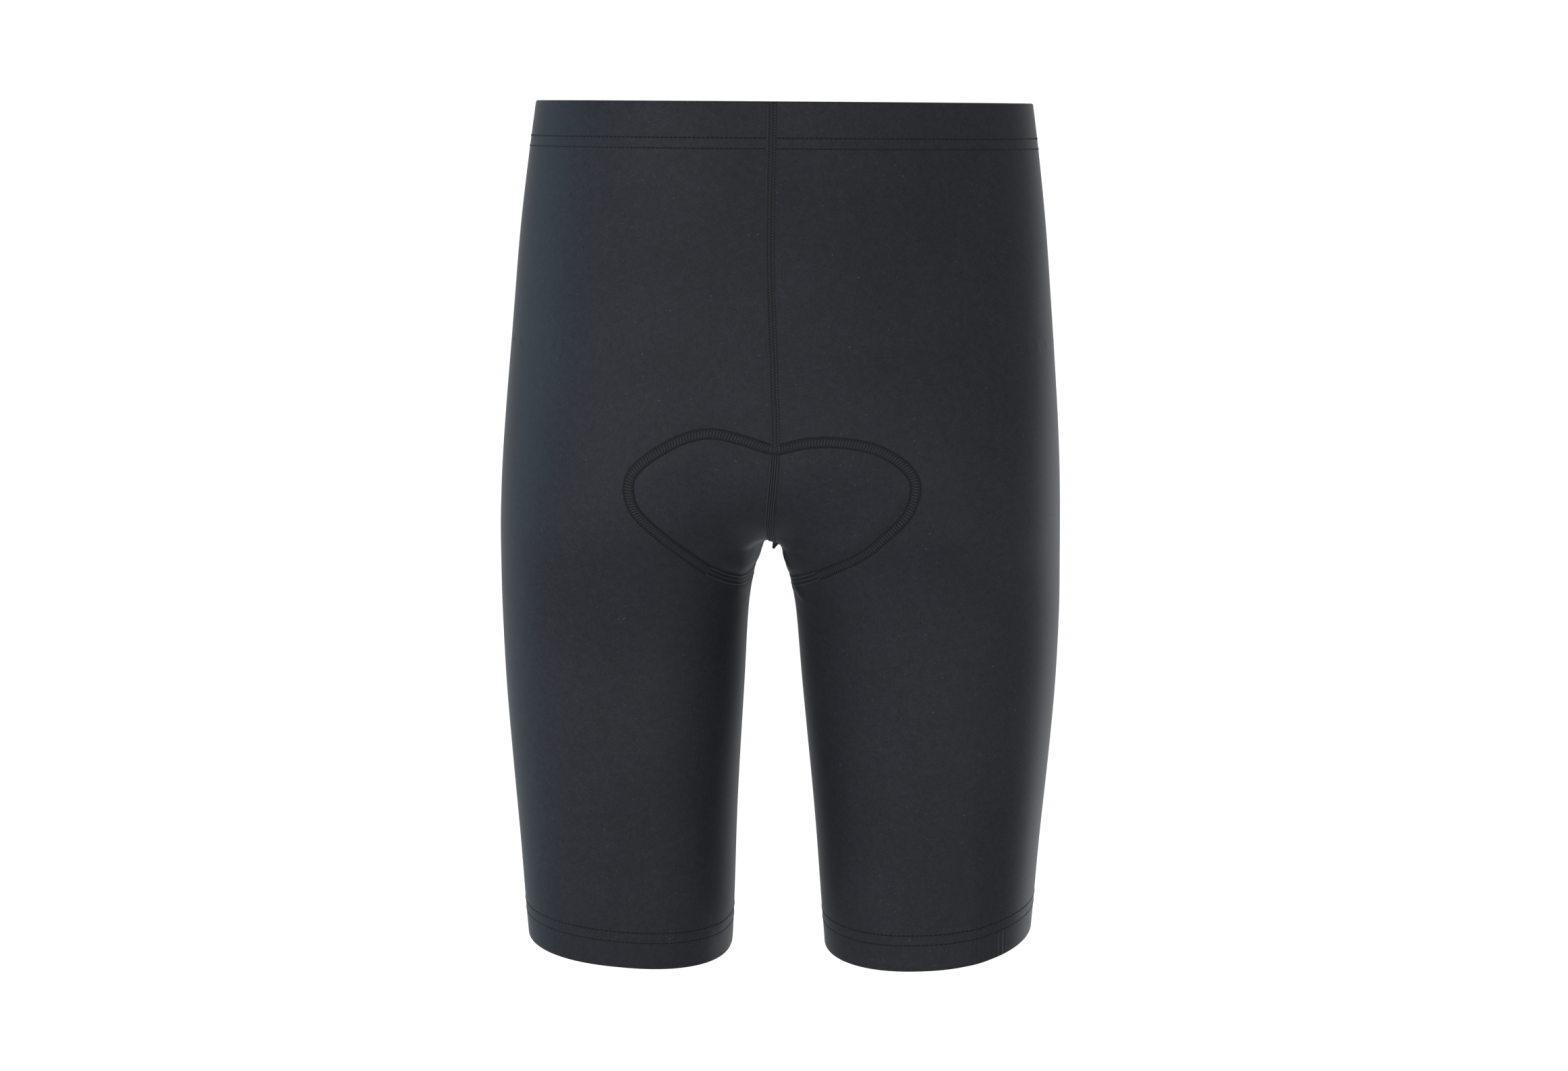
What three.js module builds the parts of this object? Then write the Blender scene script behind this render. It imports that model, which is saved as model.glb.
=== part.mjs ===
// Cycling shorts, filled out as if worn, and open at the waist and at both hems.
// Millimetres, +Z up, +X to the wearer's right, +Y to the wearer's front.
// The origin is the middle of the waistband ring, at half the band's height.
import * as THREE from 'three';
import { mergeVertices } from 'three/addons/utils/BufferGeometryUtils.js';

// Driving dimensions
const CLOTH = 1.2;              // wall of a leg panel
const SEAM_GAP = 0.3;           // between the edges of neighbouring pieces
const BAND_HEIGHT = 30;         // waistband casing
const BAND_WALL = 3.0;          // elastic between two layers of cloth
const FRONT_DIP = 18;           // how much lower the waist is at the centre front
const FRONT_REACH = 100;        // distance forward at which the dip is reached
const HEM_HEIGHT = 23;          // folded leg hem
const HEM_WALL = 2.4;           // two layers of cloth
const HEM_EDGE = -527.2;        // height of the hem plane below the origin
const HEM_RISE_OUT = 0.072;     // slope of the hem plane towards the outer side
const HEM_RISE_FRONT = 0.035;   // slope of the hem plane towards the front
const TAPE_HALF = 3.4;          // half the width of a flatlock tape
const TAPE_LIFT = 0.8;          // under side of a tape, above the cloth
const TAPE_WALL = 0.6;          // thickness of a tape
const CROSSING_LIFT = 1.1;      // more lift where the centre seam crosses the inseams
const CROSSING_REACH = 26;      // length of the centre seam that is lifted so, each way
const PAD_DEPTH = 2.8;          // outer face of the pad, under the cloth's outer face
const PAD_EDGE = 2.0;           // thickness at the pad's outline
const PAD_CORE = 8.0;           // thickness at the pad's middle line
const SQUARENESS = 2.3;         // exponent of every cross-section: 2 is an ellipse
const SPLIT_TOP = -130;         // above this height the two leg loops are one hip loop
const SIDE_AT_CROTCH = 0.47;    // how far down its side a panel is, in the row that meets the crotch

// Half width, back and front of the filled-out garment, by height
const GIRTH = [
  { z: 20, outer: 153.0, back: -106, front: 98 },
  { z: -15, outer: 157.8, back: -110, front: 101 },
  { z: -60, outer: 162.9, back: -119, front: 104 },
  { z: -110, outer: 166.8, back: -131, front: 105 },
  { z: -150, outer: 169.7, back: -138, front: 103.5 },
  { z: -180, outer: 171.8, back: -139, front: 101 },
  { z: -210, outer: 173.6, back: -134.5, front: 98 },
  { z: -240, outer: 174.8, back: -125, front: 95 },
  { z: -265, outer: 175.5, back: -113, front: 93 },
  { z: -300, outer: 175.9, back: -101, front: 92 },
  { z: -350, outer: 174.4, back: -91, front: 90 },
  { z: -400, outer: 170.9, back: -83, front: 85 },
  { z: -450, outer: 166.9, back: -76, front: 79 },
  { z: -500, outer: 163.4, back: -71, front: 74 },
  { z: -530, outer: 161.0, back: -69, front: 72 },
];

// Inner side of each leg loop, and the fillet that joins the two loops, by height
const FORK = [
  { z: -130, inner: -169.5, fillet: 0 },
  { z: -150, inner: -135, fillet: 4 },
  { z: -170, inner: -101.2, fillet: 8 },
  { z: -185, inner: -73.6, fillet: 20 },
  { z: -200, inner: -54.5, fillet: 32 },
  { z: -215, inner: -36.3, fillet: 42 },
  { z: -228, inner: -21.0, fillet: 46 },
  { z: -240, inner: -7.5, fillet: 44 },
  { z: -248, inner: -1.3, fillet: 38 },
  { z: -254, inner: 2.4, fillet: 30 },
  { z: -261, inner: 3.9, fillet: 15 },
  { z: -266, inner: 5.6, fillet: 10 },
  { z: -272, inner: 8.2, fillet: 8 },
  { z: -283, inner: 12.2, fillet: 6 },
  { z: -303, inner: 15.5, fillet: 4 },
  { z: -350, inner: 18.9, fillet: 2 },
  { z: -430, inner: 24.9, fillet: 0 },
  { z: -500, inner: 28.6, fillet: 0 },
  { z: -530, inner: 30.5, fillet: 0 },
];

// How far the middle of the garment is pulled to the wearer's right, by height
const LEAN = [
  { z: 20, shift: -1.4 },
  { z: -70, shift: -1.4 },
  { z: -150, shift: 2.6 },
  { z: -190, shift: 3.6 },
  { z: -225, shift: 0 },
  { z: -262, shift: -6 },
  { z: -300, shift: -6 },
  { z: -400, shift: -4 },
  { z: -520, shift: -1 },
];
const LEAN_REACH = 180;

// Half the pad's outline, from the notch behind to the rounded front end: distance along the
// centre line from the crotch (behind is negative) and distance out from it over the cloth
const PAD_OUTLINE = [
  { along: -157, out: 0 },
  { along: -162, out: 20 },
  { along: -164, out: 40 },
  { along: -157, out: 64 },
  { along: -140, out: 84 },
  { along: -125, out: 83 },
  { along: -106, out: 67 },
  { along: -85, out: 51 },
  { along: -58, out: 37 },
  { along: -25, out: 27.5 },
  { along: 10, out: 26 },
  { along: 50, out: 33 },
  { along: 90, out: 48 },
  { along: 118, out: 43 },
  { along: 130, out: 22 },
  { along: 132, out: 0 },
];
const PAD_SPINE = [-142, 112];   // ends of the middle line that the pad's rows start from
const INSEAM_TOP = -292;         // upper end of the inseam tapes, under the pad's tape
const TAPE_CLEAR = 5.3;          // from the middle of the pad's tape to the end of a centre tape

// Divisions of the surfaces
const ROWS_ABOVE = 20;
const ROWS_BELOW = 12;
const COLUMNS = 32;
const ROW_CROWDING = 1.6;        // rows lie closer together towards the crotch
const COLUMN_CROWDING = 0.1;     // columns lie closer together towards the seams
const EVEN_SWEEPS = 12;          // rounds of evening out a panel's points
const PAD_STATIONS = 26;
const PAD_TAPE_STATIONS = 44;
const PAD_RINGS = 6;
const RING_CROWDING = 1.5;        // the pad's rings lie closer together towards its middle line
const WALK_STEP = 4;
const GRADIENT_STEP = 0.4;
const RAY_STEP = 0.5;
const CROTCH_BETWEEN = [-290, -240];   // heights that the crotch is looked for between

// Reads a column of a table at a height, by a smooth curve through its rows
function read(table, column, z) {
  const last = table.length - 1;
  const height = Math.min(Math.max(z, table[last].z), table[0].z);
  let i = 0;
  while (i < last - 1 && height < table[i + 1].z) i += 1;
  const slope = (k) => {
    const low = Math.max(k - 1, 0);
    const high = Math.min(k + 1, last);
    return (table[high][column] - table[low][column]) / (table[high].z - table[low].z);
  };
  const span = table[i + 1].z - table[i].z;
  const t = (height - table[i].z) / span;
  const t2 = t * t;
  const t3 = t2 * t;
  return (2 * t3 - 3 * t2 + 1) * table[i][column] + (t3 - 2 * t2 + t) * span * slope(i)
    + (3 * t2 - 2 * t3) * table[i + 1][column] + (t3 - t2) * span * slope(i + 1);
}

// The loop of the right leg at a height: the left one is its mirror image
function legLoop(z) {
  const outer = read(GIRTH, 'outer', z);
  const back = read(GIRTH, 'back', z);
  const front = read(GIRTH, 'front', z);
  const split = z < SPLIT_TOP;
  const inner = split ? read(FORK, 'inner', z) : -outer;
  const fillet = split ? read(FORK, 'fillet', z) : 0;
  return {
    x: (outer + inner) / 2, halfX: (outer - inner) / 2,
    y: (back + front) / 2, halfY: (front - back) / 2, fillet,
  };
}

function loopDistance(loop, x, y) {
  const dx = x - loop.x;
  const dy = y - loop.y;
  const power = Math.abs(dx / loop.halfX) ** SQUARENESS + Math.abs(dy / loop.halfY) ** SQUARENESS;
  const q = Math.max(power ** (1 / SQUARENESS), 1e-6);
  return Math.hypot(dx, dy) * (1 - 1 / q);
}

// Distance outside the garment's outer surface, negative inside: two leg loops joined by a fillet
function field(x, y, z) {
  const loop = legLoop(z);
  const right = loopDistance(loop, x, y);
  const left = loopDistance(loop, -x, y);
  const near = Math.min(right, left);
  if (loop.fillet <= 0) return near;
  const h = Math.max(loop.fillet - Math.abs(right - left), 0) / loop.fillet;
  return near - h * h * loop.fillet / 4;
}

function gradient(p) {
  const e = GRADIENT_STEP;
  return new THREE.Vector3(
    field(p.x + e, p.y, p.z) - field(p.x - e, p.y, p.z),
    field(p.x, p.y + e, p.z) - field(p.x, p.y - e, p.z),
    field(p.x, p.y, p.z + e) - field(p.x, p.y, p.z - e),
  ).divideScalar(2 * e);
}

const normalAt = (p) => gradient(p).normalize();
const moved = (p, distance) => p.clone().addScaledVector(normalAt(p), distance);

// Nearest point of the surface, by a few Newton steps
function project(p) {
  const q = p.clone();
  for (let step = 0; step < 4; step += 1) {
    const g = gradient(q);
    q.addScaledVector(g, -field(q.x, q.y, q.z) / Math.max(g.lengthSq(), 0.05));
  }
  return q;
}

function bisect(f, low, high) {
  let a = low;
  let b = high;
  for (let step = 0; step < 50; step += 1) {
    const middle = (a + b) / 2;
    if (f(middle) > 0) b = middle;
    else a = middle;
  }
  return (a + b) / 2;
}

// Point of the surface at a height, in a direction from the right leg loop's centre
function onRay(z, angle) {
  const loop = legLoop(z);
  const cos = Math.cos(angle);
  const sin = Math.sin(angle);
  const outside = (r) => field(loop.x + r * cos, loop.y + r * sin, z);
  const power = Math.abs(cos / loop.halfX) ** SQUARENESS + Math.abs(sin / loop.halfY) ** SQUARENESS;
  const own = power ** (-1 / SQUARENESS);
  let far = own;
  while (outside(far) < 0 && loop.x + far * cos > 0) far += RAY_STEP;
  const r = bisect(outside, own - RAY_STEP, far);
  return new THREE.Vector3(loop.x + r * cos, loop.y + r * sin, z);
}

const CROTCH_Z = bisect((z) => -field(0, legLoop(z).y, z), ...CROTCH_BETWEEN);

// How far back (side -1) or forward (side +1) the surface lies at a height, on the middle plane
function centreY(z, side, x = 0) {
  const loop = legLoop(z);
  return loop.y + side * bisect((d) => field(x, loop.y + side * d, z), 0, 2 * loop.halfY);
}

// Centre line from the crotch up to a height, sampled closely, with its length
function centreLine(side, top) {
  const samples = 160;
  const line = [{ y: legLoop(CROTCH_Z).y, z: CROTCH_Z, length: 0 }];
  for (let k = 1; k <= samples; k += 1) {
    const z = CROTCH_Z + (top - CROTCH_Z) * (k / samples) ** 2;
    const y = centreY(z, side);
    const before = line[k - 1];
    line.push({ y, z, length: before.length + Math.hypot(y - before.y, z - before.z) });
  }
  return line;
}

function atLength(line, length) {
  let k = 1;
  while (k < line.length - 1 && line[k].length < length) k += 1;
  const t = (length - line[k - 1].length) / (line[k].length - line[k - 1].length);
  return {
    y: line[k - 1].y + t * (line[k].y - line[k - 1].y),
    z: line[k - 1].z + t * (line[k].z - line[k - 1].z),
  };
}

// Waist and hem lines
const waistLine = (y) => -BAND_HEIGHT / 2 - FRONT_DIP * (Math.max(0, y) / FRONT_REACH) ** 2;
const hemPlane = (x, y) => HEM_EDGE + HEM_RISE_OUT * Math.abs(x) + HEM_RISE_FRONT * y;
const BACK_TOP = waistLine(-1);
const FRONT_TOP = waistLine(centreY(-BAND_HEIGHT, 1));
const LINES = { back: centreLine(-1, BAND_HEIGHT), front: centreLine(1, BAND_HEIGHT) };

// A panel's back (-1) or front (+1) edge at a height, half a seam gap away from the seam line
function onEdge(z, side, gap) {
  const loop = legLoop(z);
  if (z < CROTCH_Z) return onRay(z, side * (Math.PI - Math.asin(gap / loop.halfX)));
  const reach = Math.max(Math.abs(centreY(z, side, gap) - loop.y), gap);
  return new THREE.Vector3(gap, loop.y + side * reach, z);
}

// Point of the right half at a height, u from the back edge (0) round the side to the front edge (1)
function onSide(z, u, gap) {
  const back = onEdge(z, -1, gap);
  const front = onEdge(z, 1, gap);
  if (u === 0) return back;
  if (u === 1) return front;
  const loop = legLoop(z);
  const start = Math.atan2(back.y - loop.y - 0.01, back.x - loop.x);
  const end = Math.atan2(front.y - loop.y + 0.01, front.x - loop.x);
  return onRay(z, start + (end - start) * u);
}

// Point of the right half where a height that depends on the place is met
function onLine(heightOf, firstHeight, u, gap) {
  let p = onSide(firstHeight, u, gap);
  for (let step = 0; step < 5; step += 1) p = onSide(heightOf(p.x, p.y), u, gap);
  return p;
}

const columnAt = (j) => j / COLUMNS - COLUMN_CROWDING * Math.sin(2 * Math.PI * j / COLUMNS);

// Share of the way down an edge in each row: first to the crotch by length, then down the inseam
function edgeShares(line, top, bottom) {
  const full = line.find((s) => s.z >= top).length;
  const shares = [];
  for (let i = 0; i <= ROWS_ABOVE; i += 1) {
    const left = full * (1 - i / ROWS_ABOVE) ** ROW_CROWDING;
    shares.push((top - atLength(line, left).z) / (top - bottom));
  }
  shares[0] = 0;
  for (let i = 1; i <= ROWS_BELOW; i += 1) {
    const down = (i / ROWS_BELOW) ** ROW_CROWDING;
    shares.push((top - CROTCH_Z - (bottom - CROTCH_Z) * down) / (top - bottom));
  }
  return shares;
}

function sideShares() {
  const shares = [];
  for (let i = 0; i <= ROWS_ABOVE; i += 1) shares.push(SIDE_AT_CROTCH * i / ROWS_ABOVE);
  for (let i = 1; i <= ROWS_BELOW; i += 1) {
    shares.push(SIDE_AT_CROTCH + (1 - SIDE_AT_CROTCH) * i / ROWS_BELOW);
  }
  return shares;
}

// Draws each inner point of a grid to the middle of its neighbours, over the surface
function evened(grid) {
  for (let sweep = 0; sweep < EVEN_SWEEPS; sweep += 1) {
    for (let i = 1; i < grid.length - 1; i += 1) {
      for (let j = 1; j < grid[i].length - 1; j += 1) {
        const middle = new THREE.Vector3()
          .add(grid[i - 1][j]).add(grid[i + 1][j]).add(grid[i][j - 1]).add(grid[i][j + 1]);
        const next = project(middle.divideScalar(4));
        if (next.x > SEAM_GAP) grid[i][j] = next;
      }
    }
  }
  return grid;
}

// Outer face of the right leg panel, in rows from the waist down
function panelGrid() {
  const gap = SEAM_GAP / 2;
  const topOf = (x, y) => waistLine(y) - gap;
  const bottomOf = (x, y) => hemPlane(x, y) + HEM_HEIGHT + gap;
  const columns = [];
  for (let j = 0; j <= COLUMNS; j += 1) {
    const u = columnAt(j);
    const top = onLine(topOf, -20, u, gap).z;
    const bottom = onLine(bottomOf, -500, u, gap).z;
    columns.push({ u, top, bottom });
  }
  const first = columns[0];
  const last = columns[COLUMNS];
  const back = edgeShares(LINES.back, first.top, first.bottom);
  const front = edgeShares(LINES.front, last.top, last.bottom);
  const side = sideShares();
  return evened(side.map((sideShare, i) => columns.map(({ u, top, bottom }) => {
    const edge = u < 0.5 ? back[i] : front[i];
    const share = sideShare + (edge - sideShare) * Math.cos(Math.PI * u) ** 2;
    return onSide(top + (bottom - top) * share, u, gap);
  })));
}

// Ring of the waistband: the right half, then its mirror image, in rows from the top down
function bandGrid() {
  const heights = [BAND_HEIGHT, BAND_HEIGHT / 2, SEAM_GAP / 2];
  return heights.map((above) => {
    const right = [];
    for (let j = 0; j <= COLUMNS; j += 1) {
      const p = onLine((x, y) => waistLine(y) + above, 0, columnAt(j), 0);
      if (j === 0 || j === COLUMNS) p.x = 0;
      right.push(p);
    }
    const left = right.slice(1, -1).reverse().map((p) => new THREE.Vector3(-p.x, p.y, p.z));
    return [...right, ...left];
  });
}

// Ring of the right hem, in rows from its upper edge down
function hemGrid() {
  const heights = [HEM_HEIGHT - SEAM_GAP / 2, HEM_HEIGHT / 2, 0];
  return heights.map((above) => {
    const ring = [];
    for (let j = 0; j < COLUMNS; j += 1) {
      ring.push(onLine((x, y) => hemPlane(x, y) + above, -510, columnAt(j), 0));
    }
    return ring;
  });
}

// Closed solids from faces
function quad(faces, a, b, c, d) {
  faces.push([a, b, c], [a, c, d]);
}

// Wall between an outer and an inner grid, open or closed round its columns
function wall(outer, inner, closed) {
  const faces = [];
  const rows = outer.length;
  const width = outer[0].length;
  const steps = closed ? width : width - 1;
  const end = rows - 1;
  for (let j = 0; j < steps; j += 1) {
    const k = (j + 1) % width;
    for (let i = 0; i < end; i += 1) {
      quad(faces, outer[i][j], outer[i + 1][j], outer[i + 1][k], outer[i][k]);
      quad(faces, inner[i][j], inner[i][k], inner[i + 1][k], inner[i + 1][j]);
    }
    quad(faces, outer[0][j], outer[0][k], inner[0][k], inner[0][j]);
    quad(faces, outer[end][j], inner[end][j], inner[end][k], outer[end][k]);
  }
  if (closed) return faces;
  const last = width - 1;
  for (let i = 0; i < end; i += 1) {
    quad(faces, outer[i][0], inner[i][0], inner[i + 1][0], outer[i + 1][0]);
    quad(faces, outer[i][last], outer[i + 1][last], inner[i + 1][last], inner[i][last]);
  }
  return faces;
}

const offsetGrid = (grid, distance) => grid.map((row) => row.map((p) => moved(p, distance)));

const mirrored = (faces) => faces.map(([a, b, c]) => [a, c, b].map(
  (p) => new THREE.Vector3(-p.x, p.y, p.z),
));

// Pulls a finished point sideways with the middle of the garment
function settled(p) {
  const weight = Math.max(0, 1 - (p.x / LEAN_REACH) ** 2);
  return [p.x + read(LEAN, 'shift', p.z) * weight, p.y, p.z];
}

function solid(name, faces, color, roughness) {
  const geometry = new THREE.BufferGeometry();
  const positions = faces.flat().flatMap(settled);
  geometry.setAttribute('position', new THREE.Float32BufferAttribute(positions, 3));
  const merged = mergeVertices(geometry, 1e-4);
  merged.computeVertexNormals();
  const material = new THREE.MeshStandardMaterial({ color, roughness, metalness: 0 });
  const mesh = new THREE.Mesh(merged, material);
  mesh.name = name;
  return mesh;
}

// Walks over the surface from a point, in straight steps laid back onto it
function walk(from, direction, distance) {
  const steps = Math.max(1, Math.ceil(distance / WALK_STEP));
  let p = from.clone();
  let heading = direction.clone();
  for (let step = 0; step < steps; step += 1) {
    const normal = normalAt(p);
    heading = heading.addScaledVector(normal, -heading.dot(normal)).normalize();
    p = project(p.clone().addScaledVector(heading, distance / steps));
  }
  return p;
}

// Point of the centre line at a length from the crotch, behind it where that is negative
function centrePoint(along) {
  const { y, z } = atLength(along < 0 ? LINES.back : LINES.front, Math.abs(along));
  return new THREE.Vector3(0, y, z);
}

// Point of the surface out from the centre line, to the right where out is positive
function padPoint(along, out) {
  const start = centrePoint(along);
  if (out === 0) return start;
  return walk(start, new THREE.Vector3(Math.sign(out), 0, 0), Math.abs(out));
}

// Tape over a seam: each station has the seam's point and a point to each side of it
function tape(stations) {
  const section = ({ left, middle, right, extra = 0 }) => {
    const low = TAPE_LIFT + extra;
    const high = low + TAPE_WALL;
    return [
      moved(right, low), moved(right, high), moved(middle, high),
      moved(left, high), moved(left, low), moved(middle, low),
    ];
  };
  const rings = stations.map(section);
  const faces = [];
  for (let i = 0; i < rings.length - 1; i += 1) {
    for (let k = 0; k < 6; k += 1) {
      const next = (k + 1) % 6;
      quad(faces, rings[i][k], rings[i][next], rings[i + 1][next], rings[i + 1][k]);
    }
  }
  const cap = (ring) => {
    const [r0, r1, m1, l1, l0, m0] = ring;
    return [[r0, r1, m1], [r0, m1, m0], [m0, m1, l1], [m0, l1, l0]];
  };
  faces.push(...cap(rings[0]).map(([a, b, c]) => [a, c, b]));
  faces.push(...cap(rings[rings.length - 1]));
  return faces;
}

// Stations of a seam on the centre line, listed by their lengths from the crotch
function centreStations(lengths) {
  return lengths.map((along) => ({
    left: padPoint(along, -TAPE_HALF),
    middle: centrePoint(along),
    right: padPoint(along, TAPE_HALF),
    extra: CROSSING_LIFT * Math.exp(-((along / CROSSING_REACH) ** 2)),
  }));
}

// Lengths along the centre line where the panels' rows meet it, between two lengths
function rowLengths(from, to) {
  const lengths = [];
  const lengthAt = (line, top) => line.find((s) => s.z >= top).length;
  const back = lengthAt(LINES.back, BACK_TOP);
  const front = lengthAt(LINES.front, FRONT_TOP);
  for (let i = 0; i <= ROWS_ABOVE; i += 1) {
    const share = (1 - i / ROWS_ABOVE) ** ROW_CROWDING;
    lengths.push(-back * share, front * share);
  }
  const least = 2;
  const inside = [...new Set(lengths)].filter((s) => s > from + least && s < to - least);
  return [from, ...inside.sort((a, b) => a - b), to];
}

// Pad outline as a smooth curve, read at a share of its length from the notch to the front end
const outlineCurve = new THREE.CatmullRomCurve3(
  PAD_OUTLINE.map(({ along, out }) => new THREE.Vector3(along, out, 0)), false, 'centripetal',
);

function outlineAt(share) {
  const p = outlineCurve.getPointAt(share);
  return { along: p.x, out: Math.max(p.y, 0) };
}

// All round the pad: right side from the notch to the front end, then the left side back again
function aroundPad(stations) {
  const places = [];
  for (let k = 0; k < 2 * stations; k += 1) {
    const share = k <= stations ? k / stations : 2 - k / stations;
    const side = k <= stations ? 1 : -1;
    const { along, out } = outlineAt(share);
    places.push({ share, along, out: side * out });
  }
  return places;
}

// Shaped seat pad inside the cloth: thick along its middle line, thin at its outline
function padFaces() {
  const rings = [];
  for (let ring = 0; ring <= PAD_RINGS; ring += 1) {
    const v = (ring / PAD_RINGS) ** RING_CROWDING;
    rings.push(aroundPad(PAD_STATIONS).map(({ share, along, out }) => {
      const spine = PAD_SPINE[0] + (PAD_SPINE[1] - PAD_SPINE[0]) * share;
      const place = padPoint(spine + (along - spine) * v, out * v);
      const thickness = PAD_EDGE + (PAD_CORE - PAD_EDGE) * (1 - v ** 2);
      return { outer: moved(place, -PAD_DEPTH), inner: moved(place, -PAD_DEPTH - thickness) };
    }));
  }
  const faces = [];
  const count = 2 * PAD_STATIONS;
  for (let k = 0; k < count; k += 1) {
    const n = (k + 1) % count;
    for (let ring = 0; ring < PAD_RINGS; ring += 1) {
      const [a, b] = [rings[ring], rings[ring + 1]];
      quad(faces, a[k].outer, a[n].outer, b[n].outer, b[k].outer);
      quad(faces, a[k].inner, b[k].inner, b[n].inner, a[n].inner);
    }
    const edge = rings[PAD_RINGS];
    quad(faces, edge[k].outer, edge[n].outer, edge[n].inner, edge[k].inner);
  }
  return faces.filter(([a, b, c]) => new THREE.Triangle(a, b, c).getArea() > 1e-6);
}

// Closed tape over the pad's outline
function padTape(stations) {
  const middle = aroundPad(stations).map(({ along, out }) => padPoint(along, out));
  const count = middle.length;
  const ring = middle.map((p, k) => {
    const before = middle[(k + count - 1) % count];
    const after = middle[(k + 1) % count];
    const out = new THREE.Vector3().subVectors(after, before).cross(normalAt(p)).normalize();
    return { out: walk(p, out, TAPE_HALF), in: walk(p, out.clone().negate(), TAPE_HALF) };
  });
  const faces = [];
  for (let k = 0; k < count; k += 1) {
    const n = (k + 1) % count;
    const top = TAPE_LIFT + TAPE_WALL;
    const corners = (s) => [
      moved(s.in, TAPE_LIFT), moved(s.out, TAPE_LIFT), moved(s.out, top), moved(s.in, top),
    ];
    const here = corners(ring[k]);
    const next = corners(ring[n]);
    for (let c = 0; c < 4; c += 1) {
      const d = (c + 1) % 4;
      quad(faces, here[c], next[c], next[d], here[d]);
    }
  }
  return faces;
}

// Tape down the right inseam, from below the pad's tape to the hem's edge
function inseamTape(top) {
  const bottom = onLine(hemPlane, -510, 0, 0).z;
  const heights = [];
  for (let i = 0; i <= ROWS_BELOW; i += 1) {
    const z = CROTCH_Z + (bottom + HEM_HEIGHT - CROTCH_Z) * (i / ROWS_BELOW) ** ROW_CROWDING;
    if (z < top - 2) heights.push(z);
  }
  return tape([top, ...heights, bottom + 0.2].map((z) => {
    const middle = onRay(z, Math.PI);
    return {
      left: walk(middle, new THREE.Vector3(0, 1, 0), TAPE_HALF),
      middle,
      right: walk(middle, new THREE.Vector3(0, -1, 0), TAPE_HALF),
    };
  }));
}

// Assembly
const CHARCOAL = 0x2b2d31;
const TAPE_BLACK = 0x25272b;
const FOAM_GREY = 0x4a4d53;
const garment = new THREE.Group();

function addPanels() {
  const outer = panelGrid();
  const faces = wall(outer, offsetGrid(outer, -CLOTH), false);
  garment.add(solid('panel_right', faces, CHARCOAL, 0.72));
  garment.add(solid('panel_left', mirrored(faces), CHARCOAL, 0.72));
}

function addBands() {
  const band = bandGrid();
  garment.add(solid('waistband', wall(band, offsetGrid(band, -BAND_WALL), true), CHARCOAL, 0.75));
  const hem = hemGrid();
  const faces = wall(hem, offsetGrid(hem, -HEM_WALL), true);
  garment.add(solid('hem_right', faces, CHARCOAL, 0.75));
  garment.add(solid('hem_left', mirrored(faces), CHARCOAL, 0.75));
}

function addPad() {
  garment.add(solid('pad', padFaces(), FOAM_GREY, 0.95));
  garment.add(solid('seam_pad', padTape(PAD_TAPE_STATIONS), TAPE_BLACK, 0.8));
}

function addSeams() {
  const notch = PAD_OUTLINE[0].along;
  const frontEnd = PAD_OUTLINE[PAD_OUTLINE.length - 1].along;
  const backTop = LINES.back.find((s) => s.z >= BAND_HEIGHT / 2).length;
  const frontTop = LINES.front.find((s) => s.z >= FRONT_TOP + BAND_HEIGHT).length;
  const seams = {
    seam_back: [-backTop, notch - TAPE_CLEAR],
    seam_crotch: [notch + TAPE_CLEAR, frontEnd - TAPE_CLEAR],
    seam_front: [frontEnd + TAPE_CLEAR, frontTop],
  };
  Object.entries(seams).forEach(([name, [from, to]]) => {
    garment.add(solid(name, tape(centreStations(rowLengths(from, to))), TAPE_BLACK, 0.8));
  });
  const inseam = inseamTape(INSEAM_TOP);
  garment.add(solid('seam_inseam_right', inseam, TAPE_BLACK, 0.8));
  garment.add(solid('seam_inseam_left', mirrored(inseam), TAPE_BLACK, 0.8));
}

addPanels();
addBands();
addPad();
addSeams();

export default garment;
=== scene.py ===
# Cycling shorts: cloth, folds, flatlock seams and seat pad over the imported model.
# Lengths are in millimetres until a mesh is made, which is in metres.
# +X is the wearer's right, +Y the wearer's front, +Z up, and the origin is the waistband's middle.
import math

import bpy
import numpy as np
from mathutils import Matrix


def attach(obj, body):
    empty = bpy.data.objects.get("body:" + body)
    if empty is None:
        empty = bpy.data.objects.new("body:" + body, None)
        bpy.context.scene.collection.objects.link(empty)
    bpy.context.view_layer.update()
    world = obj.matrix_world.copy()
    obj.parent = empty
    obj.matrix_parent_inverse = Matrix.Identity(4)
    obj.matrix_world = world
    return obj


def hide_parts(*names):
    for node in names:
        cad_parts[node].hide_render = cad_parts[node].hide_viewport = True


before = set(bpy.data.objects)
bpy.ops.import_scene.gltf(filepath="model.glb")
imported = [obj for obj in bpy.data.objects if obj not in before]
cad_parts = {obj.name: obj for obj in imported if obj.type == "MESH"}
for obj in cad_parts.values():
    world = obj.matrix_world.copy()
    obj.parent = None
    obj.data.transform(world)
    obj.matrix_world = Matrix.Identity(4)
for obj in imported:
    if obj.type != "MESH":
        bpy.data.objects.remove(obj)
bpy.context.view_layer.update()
MM = 0.001

# Sizes shared with the solids
BAND_HEIGHT, FRONT_DIP, FRONT_REACH = 30.0, 18.0, 100.0
HEM_EDGE, HEM_RISE_OUT, HEM_RISE_FRONT = -527.2, 0.072, 0.035
SQUARENESS, SPLIT_TOP, SIDE_AT_CROTCH, LEAN_REACH = 2.3, -130.0, 0.47, 180.0
SEAM_GAP = 0.3

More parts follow.
